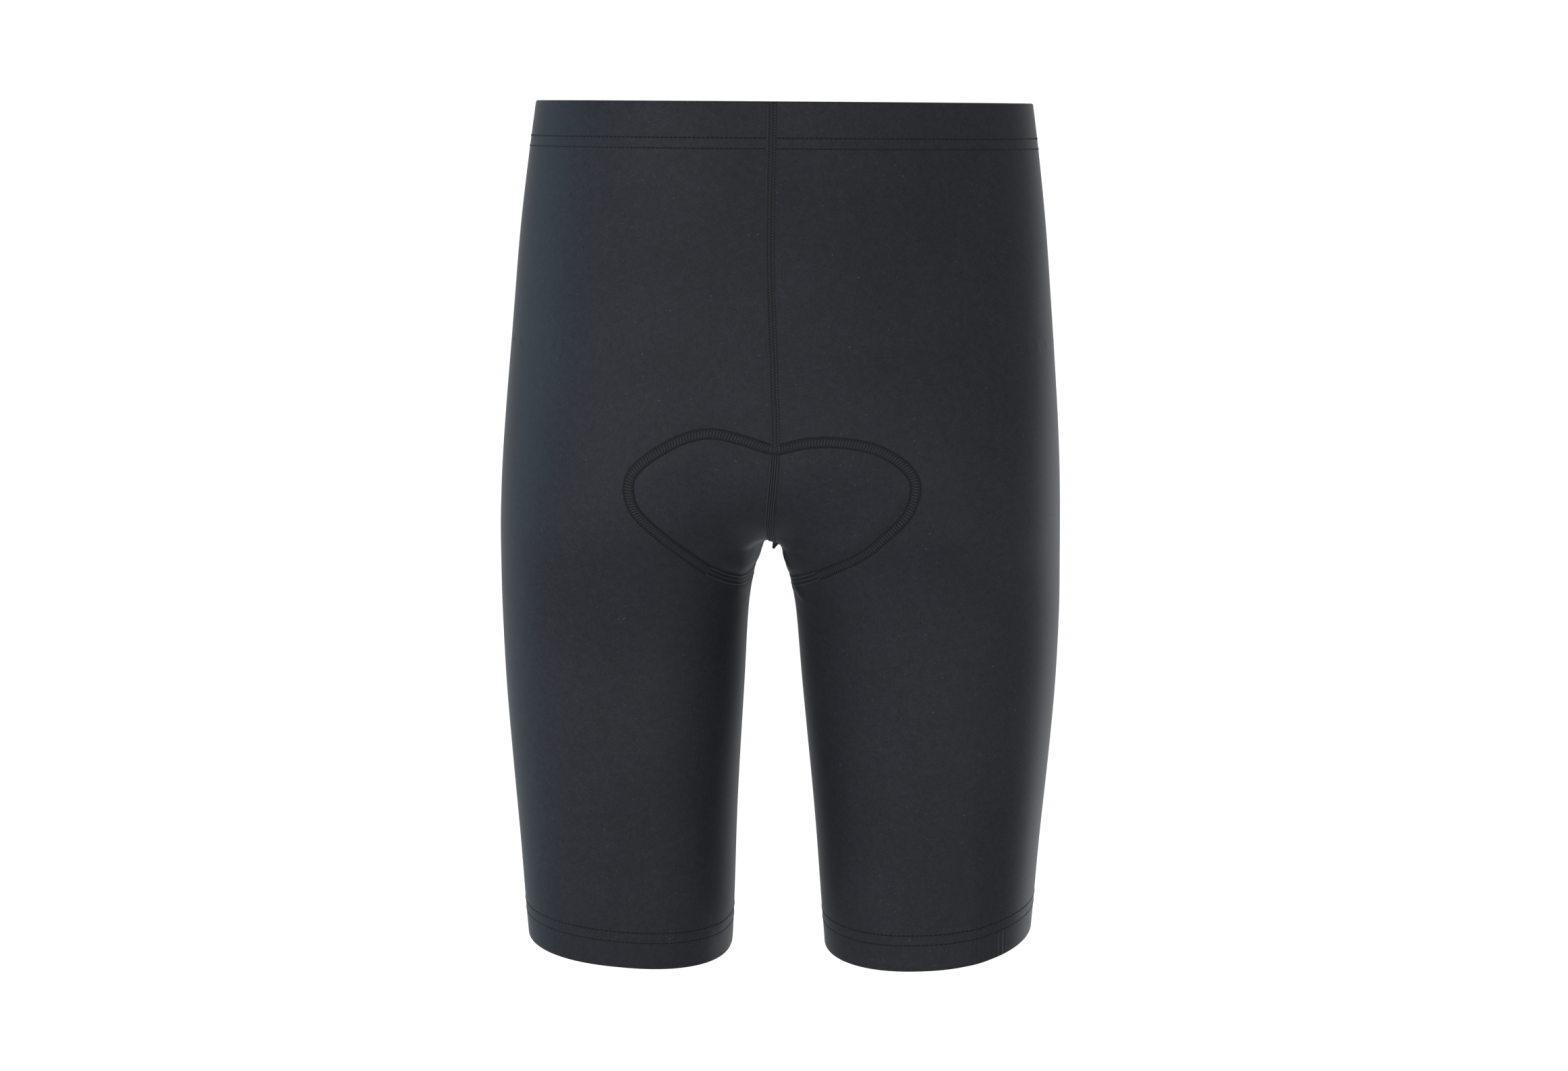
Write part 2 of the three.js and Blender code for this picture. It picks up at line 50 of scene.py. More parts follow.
# How the right hem is drawn up: least at one place across the leg, more towards both its sides
DRAWN_UP, DRAWN_ENDS = 2.2, 3.0
DRAWN_LEAST_X, DRAWN_INNER, DRAWN_OUTER = 98.0, 72.0, 46.0
DRAWN_FROM, DRAWN_OVER = -380.0, 130.0

# Sizes of the cloth and its stitching
JERSEY = 0.8            # one layer of cloth
BAND_FOLD = 1.4         # radius of the fold at the waist
HEM_FOLD = 1.1          # radius of the fold at a hem
BAND_UNDER = 29.0       # depth of the layer folded in at the waist
HEM_UNDER = 26.0        # depth of the layer folded in at a hem
BAND_ROWS = (8.4, 2.2)  # stitch rows at the waist, above the waist line
HEM_ROWS = (23.7, 17.2)  # stitch rows at a hem, above its edge
PATH_STEP = 1.0         # spacing of the points along a seam
WAIST_COLUMNS, HEM_COLUMNS = 80, 96

# Stitches: spacing, then half lengths along, across and up
FLATLOCK_PITCH, LADDER_PITCH, COVERSTITCH_PITCH = 1.7, 1.8, 2.8
EDGE_THREAD, MIDDLE_THREAD, NEEDLE_THREAD = (0.68, 0.55, 0.2), (0.6, 0.4, 0.2), (0.6, 0.34, 0.16)
RUNG_THREAD, RAIL_THREAD = (2.3, 0.46, 0.24), (0.6, 0.42, 0.22)
COVERSTITCH_THREADS = (0.95, 0.62, 0.2), (0.95, 0.5, 0.2)
# Where they lie in a seam: to its sides, and above the cloth
EDGE_SIDE, EDGE_UP, NEEDLE_SIDE, NEEDLE_UP = 2.2, 0.36, 1.1, 0.40
RUNG_SLANT, RUNG_UP, RAIL_SIDE, RAIL_UP = 76.0, 0.42, 2.8, 0.34
# The ladder shows outside this distance from the middle, or above this height
LADDER_ASIDE, LADDER_LOW = 33.0, -240.0

# How far the centre tapes end below the top edge and short of the pad's seam, outside and inside it
TAPE_SHORT, PAD_GAP, CROTCH_GAP = 0.6, 1.5, 2.5
PAD_TAPE_WIDER = 1.17   # width of the pad's tape as a multiple of the centre tapes'
# The inseams: top, where the hem is met, end above it, and how much lower than a centre seam they lie
INSEAM_TOP, INSEAM_X, INSEAM_CLEAR, INSEAM_POINTS = -292.0, 30.0, 0.8, 90
INSEAM_TAPE_SUNK, INSEAM_SUNK = 0.28, 0.48

# The pad: outer face under the cloth's outer face, thickness at edge and core, ends of its middle line
PAD_OUTER, PAD_EDGE, PAD_CORE = 2.4, 2.0, 8.0
PAD_SPINE = (-142.0, 112.0)
PAD_RINGS, RING_CROWDING, PAD_SIDES = 18, 1.2, 72
PAD_ROUNDING, PAD_LIP, PAD_LEAST = 0.06, 0.45, 1.0
CHANNEL_DEPTH, CHANNEL_HALF, CHANNEL_MIDDLE, CHANNEL_REACH = 2.2, 6.0, -10.0, 110.0
QUILT_DEPTH, QUILT_AT, QUILT_HALF = 1.0, 0.62, 0.05

# How the pad's two lobes differ behind: the left one sits higher, the right one is fuller
LOBE_FROM, LOBE_OVER = -60.0, 12.0
LOBE_OUT, LOBE_HALF, LOBE_RISE_LEFT, LOBE_RISE_RIGHT = 41.0, 20.0, 2.0, -2.5
FULLER_AT, FULLER_HALF, FULLER_BY = -98.0, 20.0, 0.05

# Points outside these heights and this width are too far from the pad to need its distance
NEAR_PAD_TOP, NEAR_PAD_LOW, NEAR_PAD_ASIDE, FAR_OFF = -140.0, -300.0, 110.0, 99.0
BESIDE = 5.0            # this close to the outline, the side of it tells inside from outside

# The pad seen through the cloth: its lift, and the groove along its outline
PAD_LIFT, PAD_LIFT_IN, PAD_LIFT_OVER = 1.3, 2.0, 9.0
OUTLINE_GROOVE, OUTLINE_GROOVE_HALF = 0.35, 5.5
BEHIND_OVER = 12.0      # depth over which folds fade out towards the front

# The middle of the seat stands out above the crotch
RIDGE, RIDGE_X, RIDGE_HALF = 3.0, 1.0, 42.0
RIDGE_TOP, RIDGE_TOP_OVER, RIDGE_LOW, RIDGE_LOW_OVER = -165.0, 45.0, -275.0, 25.0
RIDGE_BEHIND, RIDGE_BEHIND_OVER = 45.0, 30.0
# The seam draws the cloth up between the legs
TUCK, TUCK_HALF_X, TUCK_HALF_Y, TUCK_BACK = 4.6, 19.0, 72.0, 22.0
TUCK_TOP, TUCK_TOP_OVER = 40.0, 15.0

# The seam under the crotch: lies aside to the right, and narrows to a small spike that hangs down
AWAY, AWAY_AT, AWAY_HALF = -4.2, -45.0, 70.0
SPIKE, SPIKE_AT, SPIKE_HALF = 4.0, -44.0, 12.0
NARROWED, NARROWED_HALF = 0.65, 26.0

# Ripples at the right hem: height as a multiple of the grain's, then middle and half reach along x
# and z in metres, and radians of the wave in a metre
RIPPLE, RIPPLE_X, RIPPLE_Z, RIPPLE_WAVE = 14.0, (0.134, 0.012), (-0.513, 0.028), 2300.0

# Height, then outer side, back and front
GIRTH = [
    (20, 153.0, -106, 98), (-15, 157.8, -110, 101), (-60, 162.9, -119, 104),
    (-110, 166.8, -131, 105), (-150, 169.7, -138, 103.5), (-180, 171.8, -139, 101),
    (-210, 173.6, -134.5, 98), (-240, 174.8, -125, 95), (-265, 175.5, -113, 93),
    (-300, 175.9, -101, 92), (-350, 174.4, -91, 90), (-400, 170.9, -83, 85),
    (-450, 166.9, -76, 79), (-500, 163.4, -71, 74), (-530, 161.0, -69, 72),
]
# Height, then inner side of the leg loop and fillet between the loops
FORK = [
    (-130, -169.5, 0), (-150, -135, 4), (-170, -101.2, 8), (-185, -73.6, 20),
    (-200, -54.5, 32), (-215, -36.3, 42), (-228, -21, 46), (-240, -7.5, 44),
    (-248, -1.5, 38), (-254, 2.0, 30), (-261, 4.6, 15), (-266, 6.3, 10),
    (-272, 8.3, 8), (-283, 11.7, 6), (-303, 15.4, 4), (-350, 18.9, 2),
    (-430, 24.9, 0), (-500, 28.6, 0), (-530, 30.5, 0),
]
# Height, then how far the middle of the garment is pulled sideways
LEAN = [
    (20, -1.4), (-70, -1.4), (-150, 2.6), (-190, 3.6), (-225, 0),
    (-262, -6), (-300, -6), (-400, -4), (-520, -1),
]
# Half the pad's outline from notch to front end: distance along the centre line from the crotch,
# and out from it
PAD_OUTLINE = [
    (-157, 0), (-162, 20), (-164, 40), (-157, 64), (-140, 84), (-125, 83),
    (-106, 67), (-85, 51), (-58, 37), (-25, 27.5), (10, 26), (50, 33),
    (90, 48), (118, 43), (130, 22), (132, 0),
]
NOTCH, FRONT_END = float(PAD_OUTLINE[0][0]), float(PAD_OUTLINE[-1][0])
# Points across the centre line, towards which the outline's curve leaves at its two ends
PAST_NOTCH, PAST_FRONT = (-157, -20), (130, -22)
# Folds: ends as (x, z) seen from behind, half width, and height, negative for a trough
FOLDS = [
    ((7.5, -250), (16, -271), 1.6, 1.3),
    ((17, -277), (24, -290), 1.7, 1.2),
    ((20, -250), (28, -262), 2.4, -0.6),
    ((30, -264), (48, -254), 1.7, -1.0),
    ((34, -270), (54, -261), 1.8, -0.6),
    ((28, -288), (40, -298), 2.0, 0.8),
    ((40, -282), (54, -291), 2.2, 0.6),
    ((-12, -286), (-17, -310), 2.4, 0.4),
    ((-33, -512), (-36, -496), 2.2, 0.6),
    ((-38, -517), (-43, -503), 2.6, 0.4),
    ((121, -380), (130, -545), 4.5, 1.3),
]
MIRROR = np.array([-1.0, 1, 1])


def curve_table(rows):
    rows = np.array(rows, float)[::-1]
    z, v = rows[:, 0], rows[:, 1:]
    k = np.arange(len(z))
    low, high = np.maximum(k - 1, 0), np.minimum(k + 1, len(z) - 1)
    return z, v, (v[high] - v[low]) / (z[high] - z[low])[:, None]


GIRTH, FORK, LEAN = curve_table(GIRTH), curve_table(FORK), curve_table(LEAN)


def read(table, z):
    """Columns of a table at heights, by a smooth curve through its rows."""
    zs, v, slope = table
    z = np.clip(np.asarray(z, float), zs[0], zs[-1])
    i = np.clip(np.searchsorted(zs, z, side="right") - 1, 0, len(zs) - 2)
    span = (zs[i + 1] - zs[i])[..., None]
    t = (z - zs[i])[..., None] / span
    return ((2 * t**3 - 3 * t**2 + 1) * v[i] + (t**3 - 2 * t**2 + t) * span * slope[i]
            + (3 * t**2 - 2 * t**3) * v[i + 1] + (t**3 - t**2) * span * slope[i + 1])


def leg_loop(z):
    """Centre, half widths and fillet of the right leg loop at heights."""
    girth, fork = read(GIRTH, z), read(FORK, z)
    split = np.asarray(z) < SPLIT_TOP
    outer, back, front = girth[..., 0], girth[..., 1], girth[..., 2]
    inner = np.where(split, fork[..., 0], -outer)
    fillet = np.where(split, fork[..., 1], 0)
    return ((outer + inner) / 2, (outer - inner) / 2,
            (back + front) / 2, (front - back) / 2, fillet)


def field(p):
    """Distance outside the garment's surface, negative inside."""
    cx, hx, cy, hy, fillet = leg_loop(p[..., 2])
    dy = p[..., 1] - cy

    def loop(x):
        dx = x - cx
        power = np.abs(dx / hx) ** SQUARENESS + np.abs(dy / hy) ** SQUARENESS
        return np.hypot(dx, dy) * (1 - 1 / np.maximum(power ** (1 / SQUARENESS), 1e-6))

    right, left = loop(p[..., 0]), loop(-p[..., 0])
    k = np.maximum(fillet, 1e-6)
    h = np.maximum(k - np.abs(right - left), 0) / k
    return np.minimum(right, left) - h * h * fillet / 4


def gradient(p, e=0.4):
    steps = e * np.eye(3)
    return np.stack([field(p + s) - field(p - s) for s in steps], -1) / (2 * e)


def unit(v):
    return v / np.maximum(np.linalg.norm(v, axis=-1, keepdims=True), 1e-9)


def normals(p):
    return unit(gradient(p))


def project(p, free=(1, 1, 1), steps=4):
    """Nearest points of the surface, moving only along the free axes."""
    p = p.copy()
    for _ in range(steps):
        g = gradient(p) * np.array(free, float)
        p -= g * (field(p) / np.maximum((g * g).sum(-1), 0.05))[..., None]
    return p


def bisect(f, low, high):
    a, b = np.array(low, float), np.array(high, float)
    for _ in range(44):
        middle = (a + b) / 2
        over = f(middle) > 0
        b, a = np.where(over, middle, b), np.where(over, a, middle)
    return (a + b) / 2


def points(x, y, z):
    return np.stack(np.broadcast_arrays(x, y, z), -1).astype(float)


def on_ray(z, angle):
    """Points of the surface at heights, in directions from the right leg loop's centre."""
    cx, hx, cy, hy, _ = leg_loop(z)
    cos, sin = np.cos(angle), np.sin(angle)

    def outside(r):
        return field(points(cx + r * cos, cy + r * sin, z))

    own = (np.abs(cos / hx) ** SQUARENESS + np.abs(sin / hy) ** SQUARENESS) ** (-1 / SQUARENESS)
    far = own + 0.0
    for _ in range(500):
        go = (outside(far) < 0) & (cx + far * cos > 0)
        if not go.any():
            break
        far = np.where(go, far + 0.5, far)
    r = bisect(outside, own - 0.5, far)
    return points(cx + r * cos, cy + r * sin, z)


def centre_y(z, side, x=0.0):
    _, _, cy, hy, _ = leg_loop(z)
    return cy + side * bisect(lambda d: field(points(x, cy + side * d, z)), 0 * hy, 2 * hy)


CROTCH_Z = float(bisect(lambda z: -field(points(0, leg_loop(z)[2], z)), -290, -240))
CROTCH_Y = float(leg_loop(CROTCH_Z)[2])


def centre_line(side):
    """Heights, depths and lengths of the centre line from the crotch up to above the waist."""
    z = CROTCH_Z + (BAND_HEIGHT - CROTCH_Z) * np.linspace(0, 1, 400) ** 2
    y = centre_y(z, side)
    y[0] = CROTCH_Y
    return z, y, np.concatenate([[0], np.cumsum(np.hypot(np.diff(y), np.diff(z)))])


LINES = {-1: centre_line(-1), 1: centre_line(1)}


def centre_points(along):
    """Points of the centre line at lengths from the crotch, behind it where they are negative."""
    along = np.asarray(along, float)
    behind, ahead = LINES[-1], LINES[1]
    y = np.where(along < 0, np.interp(-along, behind[2], behind[1]), np.interp(along, ahead[2], ahead[1]))
    z = np.where(along < 0, np.interp(-along, behind[2], behind[0]), np.interp(along, ahead[2], ahead[0]))
    return points(0 * along, y, z)


def walk(start, direction, distance, step=4.0):
    """Walks over the surface from points, in straight steps laid back onto it."""
    count = max(1, math.ceil(float(np.max(np.abs(distance))) / step))
    p, heading = start.copy(), direction.copy()
    stride = (np.asarray(distance, float) / count)[..., None]
    for _ in range(count):
        n = normals(p)
        heading = unit(heading - n * (heading * n).sum(-1, keepdims=True))
        p = project(p + heading * stride)
    return p


def pad_points(along, out):
    start = centre_points(along)
    direction = points(np.where(np.asarray(out) < 0, -1.0, 1.0), 0, 0)
    return walk(start, direction, np.abs(out))


def waist_line(y):
    return -BAND_HEIGHT / 2 - FRONT_DIP * (np.maximum(0, y) / FRONT_REACH) ** 2


def hem_plane(x, y):
    return HEM_EDGE + HEM_RISE_OUT * np.abs(x) + HEM_RISE_FRONT * y


# The right panel's outer face: coarse rows and columns, evened out, then made fine
ROWS_ABOVE, ROWS_BELOW, COLUMNS = 20, 12, 32
ROW_CROWDING, EVENINGS = 1.6, 24
FINER_ROWS, FINER_COLUMNS = 5, 9


def on_edge(z, side, gap):
    cx, hx, cy, _, _ = leg_loop(z)
    low = on_ray(z, side * (math.pi - np.arcsin(gap / hx)))
    reach = np.maximum(np.abs(centre_y(z, side, gap) - cy), gap)
    high = points(gap, cy + side * reach, z)
    return np.where((z < CROTCH_Z)[..., None], low, high)


def on_side(z, u, gap):
    back, front = on_edge(z, -1, gap), on_edge(z, 1, gap)
    cx, _, cy, _, _ = leg_loop(z)
    start = np.arctan2(back[..., 1] - cy - 0.01, back[..., 0] - cx)
    end = np.arctan2(front[..., 1] - cy + 0.01, front[..., 0] - cx)
    p = on_ray(z, start + (end - start) * u)
    p = np.where((u == 0)[..., None], back, p)
    return np.where((u == 1)[..., None], front, p)


def on_line(height_of, first, u, gap):
    p = on_side(np.full(u.shape, float(first)), u, gap)
    for _ in range(5):
        p = on_side(height_of(p[..., 0], p[..., 1]), u, gap)
    return p


def columns_of(count):
    j = np.arange(count + 1) / count
    return j - 0.1 * np.sin(2 * math.pi * j)


def refine(a, times):
    """A smooth curve through the rows of a, with that many steps between each two."""
    padded = np.concatenate([2 * a[:1] - a[1:2], a, 2 * a[-1:] - a[-2:-1]])
    t = (np.arange(times) / times).reshape([1, times] + [1] * (a.ndim - 1))
    p0, p1, p2, p3 = (padded[k:k + len(a) - 1][:, None] for k in range(4))
    mid = 0.5 * (2 * p1 + (p2 - p0) * t + (2 * p0 - 5 * p1 + 4 * p2 - p3) * t**2
                 + (3 * p1 - p0 - 3 * p2 + p3) * t**3)
    return np.concatenate([mid.reshape((-1,) + a.shape[1:]), a[-1:]])


def panel_grid():
    gap = SEAM_GAP / 2
    u = columns_of(COLUMNS)
    top = on_line(lambda x, y: waist_line(y) + BAND_HEIGHT, 0, u, gap)[:, 2]
    bottom = on_line(hem_plane, -520, u, gap)[:, 2]
    i = np.arange(ROWS_ABOVE + 1) / ROWS_ABOVE
    k = np.arange(1, ROWS_BELOW + 1) / ROWS_BELOW

    def edge_shares(side, t, b):
        z, _, length = LINES[side]
        above = np.interp(np.interp(t, z, length) * (1 - i) ** ROW_CROWDING, length, z)
        below = CROTCH_Z + (b - CROTCH_Z) * k ** ROW_CROWDING
        return (t - np.concatenate([above, below])) / (t - b)

    back = edge_shares(-1, top[0], bottom[0])[:, None]
    front = edge_shares(1, top[-1], bottom[-1])[:, None]
    side = np.concatenate([SIDE_AT_CROTCH * i, SIDE_AT_CROTCH + (1 - SIDE_AT_CROTCH) * k])[:, None]
    edge = np.where(u[None] < 0.5, back, front)
    share = side + (edge - side) * np.cos(math.pi * u[None]) ** 2
    z = top[None] + (bottom - top)[None] * share
    grid = on_side(z, np.broadcast_to(u, z.shape), gap)
    for _ in range(EVENINGS):
        middle = (grid[:-2, 1:-1] + grid[2:, 1:-1] + grid[1:-1, :-2] + grid[1:-1, 2:]) / 4
        middle = project(middle)
        grid[1:-1, 1:-1] = np.where(middle[..., :1] > SEAM_GAP, middle, grid[1:-1, 1:-1])
    fine = refine(grid, FINER_ROWS)
    fine = refine(fine.transpose(1, 0, 2), FINER_COLUMNS).transpose(1, 0, 2).copy()
    fine[:, 1:-1] = project(fine[:, 1:-1])
    crotch_row = ROWS_ABOVE * FINER_ROWS
    for column, sign in ((0, -1), (-1, 1)):
        above, below = fine[:crotch_row, column], fine[crotch_row:, column]
        above[:, 0] = gap
        fine[:crotch_row, column] = project(above, (0, 1, 1))
        below[1:, 1] = leg_loop(below[1:, 2])[2] + sign * gap
        below[1:] = project(below[1:], (1, 0, 0))
        fine[crotch_row:, column] = below
    return fine


# Lines on the surface that seams follow
def smooth_outline(count):
    """Half the pad's outline at even steps: centripetal curve through its points."""
    p = np.array([PAST_NOTCH, *PAD_OUTLINE, PAST_FRONT], float)
    knots = np.concatenate([[0], np.cumsum(np.linalg.norm(np.diff(p, axis=0), axis=1) ** 0.5)])
    line = []
    for k in range(1, len(p) - 2):
        t0, t1, t2, t3 = knots[k - 1:k + 3]
        t = np.linspace(t1, t2, 40, endpoint=False)[:, None]
        a1 = (t1 - t) / (t1 - t0) * p[k - 1] + (t - t0) / (t1 - t0) * p[k]
        a2 = (t2 - t) / (t2 - t1) * p[k] + (t - t1) / (t2 - t1) * p[k + 1]
        a3 = (t3 - t) / (t3 - t2) * p[k + 1] + (t - t2) / (t3 - t2) * p[k + 2]
        b1 = (t2 - t) / (t2 - t0) * a1 + (t - t0) / (t2 - t0) * a2
        b2 = (t3 - t) / (t3 - t1) * a2 + (t - t1) / (t3 - t1) * a3
        line.append((t2 - t) / (t2 - t1) * b1 + (t - t1) / (t2 - t1) * b2)
    line = np.concatenate(line + [p[-2:-1]])
    s = np.concatenate([[0], np.cumsum(np.linalg.norm(np.diff(line, axis=0), axis=1))])
    at = np.linspace(0, s[-1], count)
    return np.interp(at, s, line[:, 0]), np.maximum(np.interp(at, s, line[:, 1]), 0)


def skewed(along, out):
    """Places on the pad, shifted for the difference between its two lobes."""
    behind = 1 / (1 + np.exp((along - LOBE_FROM) / LOBE_OVER))
    left = out < 0
    rise = np.exp(-(((np.abs(out) - LOBE_OUT) / LOBE_HALF) ** 2)) * behind
    fuller = np.exp(-(((along - FULLER_AT) / FULLER_HALF) ** 2))
    return (along - np.where(left, LOBE_RISE_LEFT, LOBE_RISE_RIGHT) * rise,
            out * (1 + np.where(left, -FULLER_BY, FULLER_BY) * fuller))


def pad_ring(count):
    """Places all round the pad: right half from the notch to the front end, then the left half."""
    along, out = smooth_outline(count + 1)
    return (np.concatenate([along, along[-2:0:-1]]), np.concatenate([out, -out[-2:0:-1]]),
            np.concatenate([np.linspace(0, 1, count + 1), np.linspace(1, 0, count + 1)[1:-1]]))


RING_ALONG, RING_OUT, _ = pad_ring(300)
OUTLINE = pad_points(*skewed(RING_ALONG, RING_OUT))
OUTLINE_T = unit(np.roll(OUTLINE, -1, 0) - np.roll(OUTLINE, 1, 0))
OUTLINE_SIDE = unit(np.cross(OUTLINE_T, normals(OUTLINE)))   # outwards from the pad


def pad_inside():
    """Points all over the pad, well inside its outline."""
    along, out, share = pad_ring(60)
    along, out = skewed(along, out)
    spine = PAD_SPINE[0] + (PAD_SPINE[1] - PAD_SPINE[0]) * share
    shares = np.linspace(0, 0.95, 16)[:, None]
    return pad_points((spine + (along - spine) * shares).ravel(), (out * shares).ravel())


INSIDE = pad_inside()


PAIRS_AT_ONCE = 4000000


def nearest(p, cloud):
    """Distance from each point to the nearest of a cloud, and which one that is."""
    best, which = np.full(len(p), 1e9), np.zeros(len(p), int)
    for part in np.array_split(np.arange(len(p)), max(1, len(p) * len(cloud) // PAIRS_AT_ONCE)):
        d = ((p[part][:, None] - cloud[None]) ** 2).sum(-1)
        which[part] = d.argmin(1)
        best[part] = np.sqrt(d[np.arange(len(part)), which[part]])
    return best, which


def pad_distance(p):
    """Distance outside the pad's outline, negative inside it, for points near the surface."""
    flat = p.reshape(-1, 3)
    out = np.full(len(flat), FAR_OFF)
    level = (flat[:, 2] < NEAR_PAD_TOP) & (flat[:, 2] > NEAR_PAD_LOW)
    near = np.nonzero(level & (np.abs(flat[:, 0]) < NEAR_PAD_ASIDE))[0]
    if len(near):
        q = flat[near]
        d, k = nearest(q, OUTLINE)
        deep, _ = nearest(q, INSIDE)
        side = ((q - OUTLINE[k]) * OUTLINE_SIDE[k]).sum(1)
        inside = np.where(d < BESIDE, side < 0, deep < d)
        out[near] = np.where(inside, -d, d)
    return out.reshape(p.shape[:-1])


def bump(t):
    """1 at 0, falling smoothly to 0 at 1 and beyond."""
    t = np.clip(np.abs(t), 0, 1)
    return (1 - t * t) ** 2


def ramp(t):
    t = np.clip(t, 0, 1)
    return t * t * (3 - 2 * t)


def relief(p):
    """How far the cloth stands off the smooth form at points of it."""
    x, y, z = p[..., 0], p[..., 1], p[..., 2]
    d = pad_distance(p)
    lift = PAD_LIFT * ramp((-d - PAD_LIFT_IN) / PAD_LIFT_OVER)
    lift = lift - OUTLINE_GROOVE * bump(d / OUTLINE_GROOVE_HALF)
    behind = ramp((leg_loop(z)[2] - y) / BEHIND_OVER)
    for (x0, z0), (x1, z1), half, height in FOLDS:
        run = np.array([x1 - x0, z1 - z0], float)
        q = np.stack([x, z], -1) - np.array([x0, z0], float)
        t = (q @ run) / (run @ run)
        across = (q[..., 0] * run[1] - q[..., 1] * run[0]) / np.linalg.norm(run)
        lift = lift + height * bump(across / (2 * half)) * bump(2 * t - 1) * behind
    heights = ramp((RIDGE_TOP - z) / RIDGE_TOP_OVER) * ramp((z - RIDGE_LOW) / RIDGE_LOW_OVER)
    depths = ramp((CROTCH_Y - y - RIDGE_BEHIND) / RIDGE_BEHIND_OVER)
    lift = lift + RIDGE * bump((x - RIDGE_X) / RIDGE_HALF) * heights * depths
    between = bump(np.hypot(x / TUCK_HALF_X, (y - CROTCH_Y + TUCK_BACK) / TUCK_HALF_Y))
    return lift - TUCK * between * ramp((CROTCH_Z + TUCK_TOP - z) / TUCK_TOP_OVER)


def settled(p):
    """Points pulled sideways by the lean, with the right leg drawn up a little towards its hem."""
    x, z = p[..., 0], p[..., 2]
    weight = np.maximum(0, 1 - (x / LEAN_REACH) ** 2)
    away = (x - DRAWN_LEAST_X) / np.where(x < DRAWN_LEAST_X, DRAWN_INNER, DRAWN_OUTER)
    low = ramp((DRAWN_FROM - z) / DRAWN_OVER) * (x > 0)
    q = p.copy()
    q[..., 0] += read(LEAN, z)[..., 0] * weight
    q[..., 2] += (DRAWN_UP + DRAWN_ENDS * away**2) * low
    return q


# Meshes
def make(name, verts, faces, material, slot, replaces=()):
    mesh = bpy.data.meshes.new(name)
    mesh.from_pydata((settled(np.asarray(verts, float)) * MM).tolist(), [], faces)
    mesh.validate()
    mesh.materials.append(material)
    mesh.polygons.foreach_set("use_smooth", [True] * len(mesh.polygons))
    mesh.update()
    piece = bpy.data.objects.new(name, mesh)
    bpy.context.scene.collection.objects.link(piece)
    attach(piece, "root")
    if replaces:
        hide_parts(*replaces)
    return piece


def grid_faces(rows, width, closed, start=0, flip=False):
    i, j = np.meshgrid(np.arange(rows - 1), np.arange(width if closed else width - 1), indexing="ij")
    k = (j + 1) % width
    a, b = start + i * width + j, start + (i + 1) * width + j
    c, d = start + (i + 1) * width + k, start + i * width + k
    quads = np.stack([a, b, c, d], -1).reshape(-1, 4)
    return (quads[:, ::-1] if flip else quads).tolist()


def shell(outer, inner, closed):
    """Closed sheet between an outer and an inner grid of points."""
    rows, width = outer.shape[:2]
    half = rows * width
    faces = grid_faces(rows, width, closed) + grid_faces(rows, width, closed, half, True)

    def rim(line, flip):
        for a, b in zip(line, line[1:]):
            quad = [a, b, b + half, a + half]
            faces.append(quad[::-1] if flip else quad)

    top = list(range(width)) + ([0] if closed else [])
    end = [(rows - 1) * width + j for j in top]
    rim(top, False)
    rim(end, True)
    if not closed:
        rim([i * width for i in range(rows)], True)
        rim([i * width + width - 1 for i in range(rows)], False)
    return np.concatenate([outer.reshape(-1, 3), inner.reshape(-1, 3)]), faces


def mirror(verts, faces):
    return verts * MIRROR, [f[::-1] for f in faces]


def fold_rows(edge, normal, away, radius, angles):
    """Outer and inner points round a fold whose cloth turns inwards, from its start to its end."""
    base = edge - away * radius
    outer, inner = [], []
    for angle in angles:
        sin, cos = math.sin(angle), math.cos(angle)
        small = radius - JERSEY
        outer.append(base + away * radius * sin - normal * radius * (1 - cos))
        inner.append(base + away * small * sin - normal * (radius - small * cos))
    return np.array(outer), np.array(inner)


# Angles round a fold: the quarter that belongs to a panel, and the rest behind it
FIRST_QUARTER = [math.radians(a) for a in (0, 18, 36, 54, 72, 88)]
SECOND_QUARTER = [math.radians(a) for a in (92, 108, 126, 144, 162, 180)]


def panel_layers(grid):
    n = normals(grid)
    outer = grid + n * relief(grid)[..., None]
    inner = outer - n * JERSEY
    up = unit(outer[0] - outer[2])
    down = unit(outer[-1] - outer[-3])
    top = fold_rows(outer[0], n[0], up, BAND_FOLD, FIRST_QUARTER)
    low = fold_rows(outer[-1], n[-1], down, HEM_FOLD, FIRST_QUARTER)
    outer = np.concatenate([top[0][::-1], outer[1:-1], low[0]])
    inner = np.concatenate([top[1][::-1], inner[1:-1], low[1]])
    return outer, inner


def turned_in(edge, above, radius, depth, count):
    """Layer folded in at an edge: edge(height) gives a closed ring of points at that height."""
    ring, below = lifted(edge(0.0), 0), lifted(edge(-above * 4.0), 0)
    n = normals(ring)
    away = unit(ring - below)
    outer, inner = fold_rows(ring, n, away, radius, SECOND_QUARTER)
    outer, inner = list(outer), list(inner)
    for d in np.linspace(radius + 2, depth, count):
        p = edge(-above * d)
        m = normals(p)
        lift = relief(p)[:, None]
        outer.append(p + m * (lift - 2 * radius))
        inner.append(p + m * (lift - 2 * radius + JERSEY))
    return np.array(outer), np.array(inner)


def waist_ring(height):
    u = columns_of(WAIST_COLUMNS)
    p = on_line(lambda x, y: waist_line(y) + BAND_HEIGHT + height, 0, u, 0.0)
    p[0, 0] = p[-1, 0] = 0
    return np.concatenate([p, p[-2:0:-1] * MIRROR])


def hem_ring(height):
    u = columns_of(HEM_COLUMNS)[:-1]
    return on_line(lambda x, y: hem_plane(x, y) + height, -515, u, 0.0)


def left_hem_ring(height):
    return (hem_ring(height) * MIRROR)[::-1]


